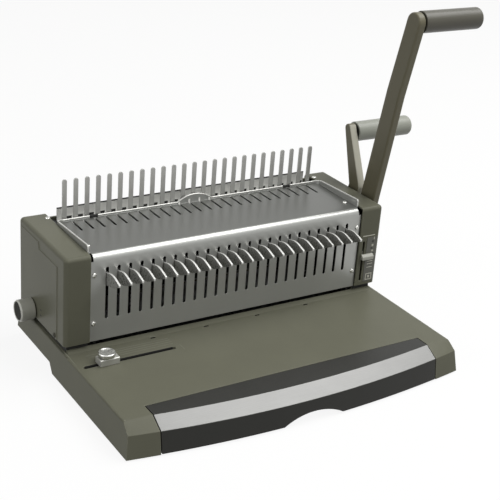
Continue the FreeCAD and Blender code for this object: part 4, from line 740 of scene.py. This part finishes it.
@dataclass
class SteelCover(Assembly):
    """Bent steel cover with the comb fingers and the strip behind them."""

    kept: Dict[str, Finish] = field(default_factory=lambda: {"finger_bar": ZINC_SHEET})
    sheet_edge: float = 0.2
    finger_edge: float = 0.35
    strip_edge: float = 0.25
    half: float = 184.4
    rear: float = 99.4
    top: float = 153.0
    crest: float = 161.8
    crest_y: float = 10.3
    front_rise: Tuple[Point2, ...] = ((9.0, 153.4), (9.0, 159.6), (9.4, 160.8), (10.2, 161.5), (11.4, 161.7))
    side_fall: float = 0.0486
    rear_lip: float = 2.0
    lip_half: float = 0.6
    lip_foot: float = 1.1
    corner: float = 10.0
    corner_cut: float = 3.7
    corner_steps: int = 8
    arch_half: float = 26.0
    arch_high: float = 10.0
    arch_steps: int = 60
    notch_x: Point2 = (130.5, 141.5)
    hem: float = 0.95
    notch_shade_gap: float = 0.6
    notch_shade_y: Point2 = (-1.3, 0.9)
    notch_shade_z: Point2 = (-1.0, 3.2)
    notch_shade_edge: float = 0.5
    pitch: float = COMB_PITCH
    strip_sheet: float = 1.5
    top_line_proud: float = 0.3
    top_line_high: float = 1.0
    shade_dash_shift: float = 0.8
    shade_dash_half: float = 4.2
    shade_dash_proud: float = 0.4
    shade_dash_z: Point2 = (1.5, 5.0)
    strip_marks_edge: float = 0.12

    def build(self) -> None:
        """Build the cover with its hem, the fingers, the strip and what is fitted to it."""
        cut = self.half + self.rear - self.corner + self.corner_cut
        corners = [((side * cut, 0.0, 0.0), (side, 1.0, 0.0)) for side in (-1, 1)]
        bm = eased("steel_cover", self.sheet_edge, trims=corners)
        self.fit(bm, "cover_sheet", "cover_steel", COVER_STEEL, ["steel_cover"])
        self.ease("comb_fingers", "finger_row", "finger_plastic", FINGER_STEEL, self.finger_edge)
        self.ease("rear_strip", "trough_strip", "strip_steel", STRIP_STEEL, self.strip_edge)
        self.hems()
        self.notch_shade()
        self.strip_line_and_shade()

    def round_corner(self, side: int) -> List[Vector]:
        """Trace the lip round one rear corner.

        Args:
            side: Minus one for left, one for right.

        Returns:
            Points along the top of the lip in millimetres, side first.
        """
        high = self.crest - self.side_fall * (self.rear - self.corner - self.crest_y)
        points = []
        for step in range(self.corner_steps + 1):
            share = step / self.corner_steps
            turn = math.pi / 2 * share
            points.append(Vector((side * (self.half - self.corner * (1 - math.cos(turn))),
                                  self.rear - self.corner * (1 - math.sin(turn)),
                                  high + (self.top + self.rear_lip - high) * share)))
        return points

    def hems(self) -> None:
        """Lay a bright hem along the lips, its pale colour partly a painted highlight, and close them round
        the rear corners.
        """
        bm, walls = bmesh.new(), bmesh.new()
        low = self.top + self.rear_lip
        for side in (-1, 1):
            arc = self.round_corner(side)
            rise = [Vector((side * self.half, y, z)) for y, z in self.front_rise]
            bead(bm, [*rise, *arc, Vector((side * self.notch_x[1], self.rear, low))], self.hem)
            heart = Vector((side * (self.half - self.corner), self.rear - self.corner, 0.0))
            rings = []
            for point in arc:
                out = Vector((point.x - heart.x, point.y - heart.y, 0.0)).normalized() * self.lip_half
                foot = Vector((point.x, point.y, self.top - self.lip_foot))
                rings.append([foot + out, point + out, point - out, foot - out])
            swept(walls, rings)
        radius = (self.arch_half ** 2 + self.arch_high ** 2) / (2 * self.arch_high)
        middle = []
        for step in range(-self.arch_steps, self.arch_steps + 1):
            x = self.notch_x[0] * step / self.arch_steps
            bow = math.sqrt(max(0.0, radius ** 2 - x * x)) - radius + self.top + self.arch_high
            middle.append(Vector((x, self.rear, max(low, bow))))
        bead(bm, middle, self.hem)
        self.fit(bm, "lip_hem", "cover_steel", HEM_STEEL)
        self.fit(walls, "lip_corners", "cover_steel", COVER_STEEL)

    def notch_shade(self) -> None:
        """Set a black block into each of the two notches of the rear lip: a painted shade for the dark
        inside.
        """
        bm = bmesh.new()
        (front, rear), (low, high) = self.notch_shade_y, self.notch_shade_z
        for side in (-1, 1):
            left, right = sorted(side * x for x in self.notch_x)
            slab(bm, (left + self.notch_shade_gap, self.rear + front, self.top + low),
                 (right - self.notch_shade_gap, self.rear + rear, self.top + high))
        ease_edges(bm, self.notch_shade_edge)
        self.fit(bm, "notch_painted_shade", "foot_rubber", RUBBER_AND_SHADE)

    def strip_line_and_shade(self) -> None:
        """Lay a black line along the top of the strip's upright, and black dashes at its foot between the
        fingers, which are painted shade.
        """
        low, high = (Vector(corner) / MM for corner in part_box("rear_strip"))
        bm = bmesh.new()
        face = high.y - self.strip_sheet
        slab(bm, (low.x, face - self.top_line_proud, high.z - self.top_line_high), (high.x, high.y, high.z))
        for step in range(-12, 12):
            x = (step + self.shade_dash_shift) * self.pitch
            slab(bm, (x - self.shade_dash_half, face - self.shade_dash_proud, low.z + self.shade_dash_z[0]),
                 (x + self.shade_dash_half, face, low.z + self.shade_dash_z[1]))
        ease_edges(bm, self.strip_marks_edge, 1)
        self.fit(bm, "strip_line_and_shade", "foot_rubber", RUBBER_AND_SHADE)


@dataclass
class PunchDrive(Assembly):
    """Die set, pins and the press bar that drives them."""

    body: str = "punch_bar"
    # The dark steel of the die set and throat spacers also stands in for the shade inside the throat
    kept: Dict[str, Finish] = field(default_factory=lambda: {
        "die_bar": MILLED_STEEL, "guide_bar": MILLED_STEEL, "throat_spacers": MILLED_STEEL,
        "guide_posts": BLACK_OXIDE, "return_springs": BLACK_OXIDE, "press_bar": MILLED_STEEL,
        "clamp_strip": MILLED_STEEL, "punch_pins": BLACK_OXIDE, "yokes": MILLED_STEEL})
    noses: int = 24
    pitch: float = COMB_PITCH
    nose_thick: float = 2.5
    nose_edge: float = 0.3
    root: Point2 = (10.5, 114.0)
    root_high: float = 15.0
    belly: Point2 = (-17.0, 117.5)
    tip: Point2 = (-31.5, 124.7)
    tip_high: float = 2.6
    crest: Point2 = (-14.0, 133.0)
    crest_ends: Tuple[Point2, Point2] = ((-6.0, 130.7), (-23.0, 129.9))
    crest_steps: int = 6

    def outline(self) -> List[Point2]:
        """Trace one nose from the side, its crest rounded.

        Returns:
            (y, z) corners in millimetres.
        """
        low, high = self.root[1], self.root[1] + self.root_high
        before, after = (Vector(end) for end in self.crest_ends)
        crown = Vector(self.crest)
        shares = [step / self.crest_steps for step in range(self.crest_steps + 1)]
        bow = [tuple(before.lerp(crown, share).lerp(crown.lerp(after, share), share)) for share in shares]
        return [self.root, (0.0, low), self.belly, self.tip, (self.tip[0], self.tip[1] + self.tip_high),
                *reversed(bow), (0.0, high), (self.root[0], high)]

    def build(self) -> None:
        """Build the noses that show in front of the cover, one for each pin."""
        bm = bmesh.new()
        half = self.nose_thick / 2
        for index in range(self.noses):
            x = (index - (self.noses - 1) / 2) * self.pitch
            prism(bm, self.outline(), x - half, x + half)
        bmesh.ops.recalc_face_normals(bm, faces=bm.faces)
        ease_edges(bm, self.nose_edge)
        self.fit(bm, "pin_noses", "machined_steel", NOSE_NICKEL, ["pin_pulls"])


@dataclass
class Lever(Assembly):
    """A lever arm with the cap of its hub and the grip at its end."""

    drive: str = ""
    reach: str = ""
    arm_finish: Finish = ARM_PAINT
    arm_edge: float = 1.0
    cap_edge: float = 0.5
    grip_finish: Finish = GRIP_OLIVE
    grip_at: Point3 = (0.0, 0.0, 0.0)
    grip_radius: float = 13.3
    grip_length: float = 90.0
    grip_chamfer: float = 0.7
    grip_round: float = 4.0
    grip_steps: int = 6

    def grip_outline(self) -> List[Point2]:
        """Trace the grip with a small chamfer inboard and a rounded outer end.

        Returns:
            (radius, height) points in millimetres.
        """
        r, end, chamfer = self.grip_radius, self.grip_length, self.grip_chamfer
        turns = [math.pi / 2 * step / self.grip_steps for step in range(self.grip_steps + 1)]
        rounding = [(r - self.grip_round * (1 - math.cos(turn)), end - self.grip_round * (1 - math.sin(turn)))
                    for turn in turns]
        return [(0.0, 0.0), (r - chamfer, 0.0), (r, chamfer), *rounding, (0.0, end)]

    def build(self) -> None:
        """Build the grip, the arm and the cap of its hub."""
        bm = bmesh.new()
        turned(bm, self.grip_outline(), seat_on(self.grip_at, (1, 0, 0)))
        grip = self.drive + "_grip"
        self.fit(bm, self.reach + "_grip", grip + "_plastic", self.grip_finish, [grip])
        self.ease(self.drive + "_arm", self.reach + "_arm", "lever_paint", self.arm_finish, self.arm_edge, 3)
        self.ease(self.drive + "_hub_cap", self.reach + "_hub_cap", "lever_paint", ARM_PAINT, self.cap_edge)


@dataclass
class PunchLever(Lever):
    """Long lever with its shaft and cranks."""

    body: str = "punch_lever"
    kept: Dict[str, Finish] = field(default_factory=lambda: {
        "punch_grip_rod": BLACK_OXIDE, "punch_shaft": GROUND_STEEL, "cranks": MILLED_STEEL,
        "crank_rollers": GROUND_STEEL})
    drive: str = "punch"
    reach: str = "long"
    grip_at: Point3 = (230.3, -11.5, 389.3)
    grip_length: float = 89.5


@dataclass
class BindingLever(Lever):
    """Short bent lever with its shaft and driving gear."""

    body: str = "binding_lever"
    kept: Dict[str, Finish] = field(default_factory=lambda: {
        "binding_grip_rod": BLACK_OXIDE, "binding_shaft": GROUND_STEEL, "binding_gear": MILLED_STEEL})
    drive: str = "binding"
    reach: str = "short"
    # Paler front and back of the short arm: a painted highlight
    arm_finish: Finish = ARM_PAINT_HIGHLIT
    grip_finish: Finish = GRIP_GREY
    grip_at: Point3 = (230.3, 90.5, 220.9)
    grip_radius: float = 13.0
    grip_length: float = 87.5


@dataclass
class Rake(Assembly):
    """Shaft with the hooks that open the comb."""

    body: str = "rake"
    kept: Dict[str, Finish] = field(default_factory=lambda: {
        "rake_shaft": GROUND_STEEL, "rake_gear": MILLED_STEEL, "rake_hooks": GROUND_STEEL})


@dataclass
class DepthControl(Assembly):
    """Depth knob, its eccentrics and the paper stop."""

    body: str = "depth_control"
    kept: Dict[str, Finish] = field(default_factory=lambda: {
        "depth_shaft": GROUND_STEEL, "eccentrics": MILLED_STEEL, "stop_plate": ZINC_SHEET,
        "stop_ears": ZINC_SHEET})
    inner: Point3 = (-218.5, 86.0, 55.5)
    length: float = 18.5
    radius: float = 13.0
    rim: float = 1.7
    dish: float = 0.9
    facets: int = 64

    def build(self) -> None:
        """Turn the knob, its chamfer, pale as a painted highlight, and the darker cap set into its face."""
        r, end, floor = self.radius, self.length, self.length - self.dish
        well, cap = r - self.rim, r - self.rim - 0.5
        dial = [(0, 0), (r - 1.2, 0), (r - 0.3, 0.4), (r, 1.2), (r, end - 1.8), (0, end - 1.8)]
        chamfer = [(0, end - 2.2), (r - 0.6, end - 2.2), (r - 0.1, end - 1.8), (r - 0.9, end - 0.3),
                   (r - 1.2, end), (well, end - 0.2), (well - 0.3, floor), (0, floor)]
        inlay = [(0, floor - 0.4), (cap, floor - 0.4), (cap, floor + 0.3), (cap - 0.4, floor + 0.5),
                 (cap * 0.5, floor + 0.3), (0, floor + 0.2)]
        for name, profile, finish in (("depth_dial", dial, KNOB_ABS), ("depth_dial_rim", chamfer, RIM_HIGHLIGHT_ABS),
                                      ("depth_dial_cap", inlay, CAP_ABS)):
            bm = bmesh.new()
            turned(bm, profile, seat_on(self.inner, (-1, 0, 0)), self.facets)
            self.fit(bm, name, "moulded_olive", finish, ["depth_knob"])


@dataclass
class SizeSelector(Assembly):
    """Comb size selector on the right end cover, with its printed scale."""

    body: str = "size_selector"
    kept: Dict[str, Finish] = field(default_factory=lambda: {"selector_scale": SCALE_FILM})
    tab_edge: float = 0.5
    tab_x: Point2 = (189.0, 206.5)
    tab_z: Point2 = (84.0, 91.0)
    tab_rear: float = -3.6
    tab_front: float = -8.5
    tab_slope: float = 2.8
    stem_x: Point2 = (191.2, 194.0)
    stem_lap: Point2 = (0.4, 0.3)
    stem_inset: float = 1.0
    keeper_x: Point2 = (187.6, 197.6)
    keeper_y: Point2 = (-0.3, 1.2)
    keeper_lap: float = 3.0
    film_y: float = -3.4
    cover_y: float = -3.0
    ink: float = 0.08
    bracket: Rect = (190.0, 114.8, 208.6, 116.2)
    pale_squares: Tuple[Rect, ...] = ((207.2, 109.2, 208.6, 112.8), (204.9, 99.8, 207.7, 102.8),
                                      (205.4, 92.6, 208.2, 95.0))
    dark_squares: Tuple[Rect, ...] = ((204.6, 105.2, 207.6, 108.2), (203.6, 96.0, 206.4, 98.6),
                                      (207.2, 88.6, 209.6, 91.2))
    line_starts: Tuple[Point2, ...] = ((200.4, 78.7), (200.9, 75.1), (200.9, 70.3))
    line_end: float = 209.3
    line_high: float = 1.0
    border: Rect = (200.4, 52.9, 210.3, 62.0)
    border_line: float = 1.1
    border_dot: Rect = (203.9, 55.8, 206.8, 59.0)

    def build(self) -> None:
        """Build the tab with its stem and keeper, and the print of the scale."""
        bm = bmesh.new()
        low, high = self.tab_z
        outline = [(self.tab_rear, low), (self.tab_rear, high), (self.tab_front + self.tab_slope, high),
                   (self.tab_front, high - self.tab_slope), (self.tab_front, low)]
        prism(bm, outline, *self.tab_x)
        (inner, outer), inset, lap = self.keeper_y, self.stem_inset, self.keeper_lap
        slab(bm, (self.stem_x[0], self.tab_rear - self.stem_lap[0], low + inset),
             (self.stem_x[1], inner + self.stem_lap[1], high - inset))
        slab(bm, (self.keeper_x[0], inner, low - lap), (self.keeper_x[1], outer, high + lap))
        bmesh.ops.recalc_face_normals(bm, faces=bm.faces)
        ease_edges(bm, self.tab_edge)
        self.fit(bm, "selector_slider", "selector_plastic", TAB_ABS, ["selector_tab"])
        self.print_scale()

    def film_marks(self) -> List[Rect]:
        """List the pale marks on the film.

        Returns:
            Left, low, right and high of each mark in millimetres.
        """
        lines = [(x, z, self.line_end, z + self.line_high) for x, z in self.line_starts]
        (left, low, right, high), line = self.border, self.border_line
        sides = [(left, low, right, low + line), (left, high - line, right, high),
                 (left, low + line, left + line, high - line), (right - line, low + line, right, high - line)]
        return [*self.pale_squares, *lines, *sides, self.border_dot]

    def print_scale(self) -> None:
        """Print bracket, lines, squares and border, all of them plain marks."""
        pale = [(self.cover_y, self.bracket), *((self.film_y, mark) for mark in self.film_marks())]
        dark = [(self.film_y, mark) for mark in self.dark_squares]
        for name, marks, finish in (("selector_print", pale, PALE_INK), ("selector_signs", dark, DARK_INK)):
            bm = bmesh.new()
            for plane, (left, low, right, high) in marks:
                slab(bm, (left, plane - self.ink, low), (right, plane, high))
            place(name, mesh_from(bm, name), "frame", finish)


@dataclass
class EdgeStop(Assembly):
    """Edge guide with its clamp and thumb screw."""

    body: str = "edge_stop"
    kept: Dict[str, Finish] = field(default_factory=lambda: {"edge_clamp": GROUND_STEEL})
    block_edge: float = 0.4
    block_x: Point2 = (-191.5, -168.0)
    screw_body: str = "edge_screw"
    screw_at: Point2 = (-181.0, -38.0)
    tail_z: float = 30.1
    seat_z: float = 46.4
    head_z: float = 47.4
    top_z: float = 52.4
    shank: float = 2.4
    head: float = 9.8
    facets: int = 64

    def build(self) -> None:
        """Build the guide block and turn the thumb screw with its dished head."""
        ends = [((x, 0.0, 0.0), (way, 0.0, 0.0)) for x, way in zip(self.block_x, (-1.0, 1.0))]
        bm = eased("edge_guide", self.block_edge, trims=ends)
        self.fit(bm, "guide_block", "machined_steel", GUIDE_NICKEL, ["edge_guide"])
        bm = bmesh.new()
        r, top, tail, shank = self.head, self.top_z, self.tail_z, self.shank
        profile = [(0, tail), (shank - 0.5, tail), (shank, tail + 0.5), (shank, self.seat_z),
                   (r / 2, self.seat_z), (r / 2, self.head_z), (r - 0.5, self.head_z),
                   (r, self.head_z + 0.5), (r, top - 1.2),
                   (r - 0.2, top - 0.6), (r - 0.7, top - 0.15), (r - 1.3, top), (r - 1.9, top - 0.15),
                   (r - 2.5, top - 0.8), (r - 4.5, top - 1.2), (0, top - 1.3)]
        turned(bm, profile, seat_on((*self.screw_at, 0), (0, 0, 1)), self.facets)
        wheel = mesh_from(bm, "thumb_wheel")
        place("thumb_wheel", wheel, self.screw_body, CHROME, ["thumb_screw"])


@dataclass
class ChipDrawer(Assembly):
    """Drawer for the punched chips."""

    body: str = "chip_drawer"
    front_edge: float = 0.6
    band_edge: float = 0.3
    tray_edge: float = 0.4

    def build(self) -> None:
        """Build front, band and tray."""
        self.ease("drawer_front", "drawer_moulding", "drawer_charcoal", CHARCOAL_ABS, self.front_edge)
        self.ease("drawer_band", "silver_band", "drawer_silver", SILVER_BAND, self.band_edge)
        self.ease("drawer_tray", "chip_tray_moulding", "drawer_charcoal", CHARCOAL_ABS, self.tray_edge)


@dataclass
class Screws(Assembly):
    """Pan-head screws of the covers, the rear panel and the bottom plate."""

    radius: float = 3.0
    height: float = 1.5
    low_height: float = 1.2
    dome: Tuple[Point2, ...] = ((0.72, 0.97), (0.92, 0.72), (1.0, 0.3), (1.0, 0.0))
    recess_half: float = 1.55
    recess_arm: float = 0.36
    recess_depth: float = 0.9
    recess_taper: float = 0.8
    front_x: float = 180.4
    front_turns: Tuple[Point2, ...] = ((68.5, 20.0), (128.5, 52.0))
    top_at: Point3 = (177.0, 26.0, 153.0)
    rear_at: Point3 = (188.5, 112.0, 154.5)
    side_at: Point3 = (217.5, 22.5, 51.0)
    panel_at: Point2 = (171.0, 126.5)
    panel_z: Point2 = (50.0, 138.0)
    bottom_at: Point2 = (168.5, 2.0)
    bottom_y: Point2 = (-120.5, 117.5)

    def head(self, bm: bmesh.types.BMesh, seat: Matrix, height: float, turn_deg: float) -> None:
        """Add one domed head with a cross recess.

        Args:
            bm: Edit mesh to add to.
            seat: Places the head; its axis is the local Z.
            height: Height of the head in millimetres.
            turn_deg: How far the recess is turned.
        """
        arm, half = self.recess_arm, self.recess_half
        cross = ((half, arm), (arm, arm), (arm, half))
        rim: List[Vector] = []
        for quarter in range(4):
            c, s = round(math.cos(quarter * math.pi / 2)), round(math.sin(quarter * math.pi / 2))
            rim += [Vector((x * c - y * s, x * s + y * c, 0.0)) for x, y in cross]
        up = Vector((0.0, 0.0, height))
        floor = Vector((0.0, 0.0, height - self.recess_depth))
        rings = [[point * self.recess_taper + floor for point in rim], [point + up for point in rim]]
        for wide, high in self.dome:
            rings.append([point.normalized() * self.radius * wide + up * high for point in rim])
        swept(bm, rings, seat @ Matrix.Rotation(math.radians(turn_deg), 4, "Z"))

    def build(self) -> None:
        """Build every head at its place, each turned as far as it was driven."""
        bm = bmesh.new()
        for side in (-1, 1):
            for z, turn in self.front_turns:
                self.head(bm, seat_on((side * self.front_x, 0, z), (0, -1, 0)), self.height, turn + 15 * side)
            for (x, y, z), turn in ((self.top_at, 35 * side), (self.rear_at, 10 + 25 * side)):
                self.head(bm, seat_on((side * x, y, z), (0, 0, 1)), self.height, turn)
        self.fit(bm, "cover_screw_heads", "screw_zinc", SCREW_ZINC, ["cover_screws"])
        bm = bmesh.new()
        for side in (-1, 1):
            x, y, z = self.side_at
            self.head(bm, seat_on((side * x, y, z), (side, 0, 0)), self.height, 40)
        self.fit(bm, "side_screw_heads", "screw_zinc", SCREW_LACQUER, ["cover_screws"])
        bm = bmesh.new()
        for side in (-1, 1):
            x, y = self.panel_at
            for z in self.panel_z:
                self.head(bm, seat_on((side * x, y, z), (0, 1, 0)), self.height, 25 + z / 3)
            x, z = self.bottom_at
            for y in self.bottom_y:
                self.head(bm, seat_on((side * x, y, z), (0, 0, -1)), self.low_height, 30 + y / 4)
        self.fit(bm, "panel_screw_heads", "screw_zinc", SCREW_ZINC, ["panel_screws"])


# Stage

@dataclass(frozen=True)
class Lamp:
    """A soft box that looks at the middle of the object."""

    name: str
    towards: Point3
    distance: float
    width: float
    height: float
    watts: float

    def build(self, target: Vector) -> None:
        """Hang the lamp.

        Args:
            target: Point it looks at, in metres.
        """
        data = bpy.data.lights.new(self.name, "AREA")
        data.shape = "RECTANGLE"
        data.size = self.width
        data.size_y = self.height
        data.energy = self.watts
        lamp = bpy.data.objects.new(self.name, data)
        way = Vector(self.towards).normalized()
        lamp.location = target + way * self.distance
        lamp.rotation_euler = way.to_track_quat("Z", "Y").to_euler()
        bpy.context.scene.collection.objects.link(lamp)


@dataclass
class Studio:
    """Pale floor, soft light and the camera at the photograph's angle."""

    camera_mm: Point3 = (-679.8, -1063.3, 690.7)
    azimuth_deg: float = -33.436
    elevation_deg: float = 23.955
    roll_deg: float = 4.543
    focal_px: float = 1169.52
    image_px: float = 500.0
    sensor_mm: float = 36.0
    target: Point3 = (0.0, 0.0, 0.1)
    floor_half: float = 12.0
    floor_colour: str = "#f4f4f2"
    bounce_colour: str = "#8a8a88"
    glow: float = 0.90
    ambient: float = 0.16
    lamps: Tuple[Lamp, ...] = (
        Lamp("overhead_box", (0.50, -0.24, 1.0), 2.6, 2.7, 1.7, 76.0),
        Lamp("left_box", (-0.93, -0.10, 0.36), 1.8, 1.0, 1.0, 9.6),
        Lamp("front_box", (0.10, -0.85, 0.55), 2.0, 1.6, 0.6, 3.2),
    )

    def build(self) -> None:
        """Build the stage."""
        bpy.context.scene.view_settings.view_transform = "Standard"
        self.floor()
        self.world()
        for lamp in self.lamps:
            lamp.build(Vector(self.target))
        self.camera()

    def seen(self, tree: bpy.types.NodeTree) -> bpy.types.NodeSocket:
        """Tell rays that show the background from rays that only light the object.

        Args:
            tree: Node tree to add to.

        Returns:
            One for camera, glossy and transmission rays, else zero.
        """
        path = add(tree, "LightPath")
        shown = add(tree, "Math", {0: path.outputs["Is Camera Ray"], 1: path.outputs["Is Glossy Ray"]},
                    operation="MAXIMUM").outputs["Value"]
        return add(tree, "Math", {0: shown, 1: path.outputs["Is Transmission Ray"]},
                   operation="MAXIMUM").outputs["Value"]

    def floor(self) -> None:
        """Lay a pale floor that shows nearly white and keeps a soft shadow."""
        bm = bmesh.new()
        bmesh.ops.create_grid(bm, x_segments=2, y_segments=2, size=self.floor_half)
        mesh = mesh_from(bm, "studio_floor")
        made = bpy.data.materials.new("paper_sweep_pale")
        made.use_nodes = True
        tree = made.node_tree
        tree.nodes.clear()
        paper = add(tree, "Mix", {"Factor": self.seen(tree), "A": linear(self.bounce_colour),
                                  "B": linear(self.floor_colour)}, data_type="RGBA").outputs["Result"]
        matt = add(tree, "BsdfDiffuse", {"Color": paper}).outputs["BSDF"]
        lit = add(tree, "Emission", {"Color": (1.0, 1.0, 1.0, 1.0), "Strength": 1.0}).outputs["Emission"]
        share = add(tree, "Math", {0: self.seen(tree), 1: self.glow}, operation="MULTIPLY").outputs["Value"]
        mixed = add(tree, "MixShader", {0: share, 1: matt, 2: lit}).outputs["Shader"]
        add(tree, "OutputMaterial", {"Surface": mixed})
        mesh.materials.append(made)
        floor = bpy.data.objects.new("studio_floor", mesh)
        bpy.context.scene.collection.objects.link(floor)

    def world(self) -> None:
        """Fill the room with even light, and show it white."""
        room = bpy.data.worlds.new("studio_room")
        bpy.context.scene.world = room
        room.use_nodes = True
        tree = room.node_tree
        tree.nodes.clear()
        fill = add(tree, "Background", {"Color": (1.0, 1.0, 1.0, 1.0), "Strength": self.ambient}).outputs[0]
        shown = add(tree, "Background", {"Color": (1.0, 1.0, 1.0, 1.0), "Strength": 1.0}).outputs[0]
        mixed = add(tree, "MixShader", {0: self.seen(tree), 1: fill, 2: shown}).outputs["Shader"]
        add(tree, "OutputWorld", {"Surface": mixed})

    def camera(self) -> None:
        """Set the camera where the photograph was taken from."""
        turn, rise, roll = (math.radians(v) for v in (self.azimuth_deg, self.elevation_deg, self.roll_deg))
        back = Vector((math.sin(turn) * math.cos(rise), -math.cos(turn) * math.cos(rise), math.sin(rise)))
        level = Vector((math.cos(turn), math.sin(turn), 0.0))
        upright = back.cross(level)
        right = level * math.cos(roll) + upright * math.sin(roll)
        up = upright * math.cos(roll) - level * math.sin(roll)
        data = bpy.data.cameras.new("photo_camera")
        data.sensor_width = self.sensor_mm
        data.lens = self.focal_px * self.sensor_mm / self.image_px
        data.clip_end = 60.0
        camera = bpy.data.objects.new("photo_camera", data)
        axes = Matrix((right, up, back)).transposed().to_4x4()
        camera.matrix_world = Matrix.Translation(Vector(self.camera_mm) * MM) @ axes
        bpy.context.scene.collection.objects.link(camera)
        bpy.context.scene.camera = camera


def main() -> None:
    """Build the stage and every sub-assembly."""
    logging.basicConfig(level=logging.INFO, format="%(name)s: %(message)s")
    Studio().build()
    for assembly in (Housing(), SteelCover(), PunchDrive(), PunchLever(), BindingLever(), Rake(),
                     DepthControl(), SizeSelector(), EdgeStop(), ChipDrawer(), Screws()):
        assembly.build()
        assembly.dress()


if __name__ == "__main__":
    main()
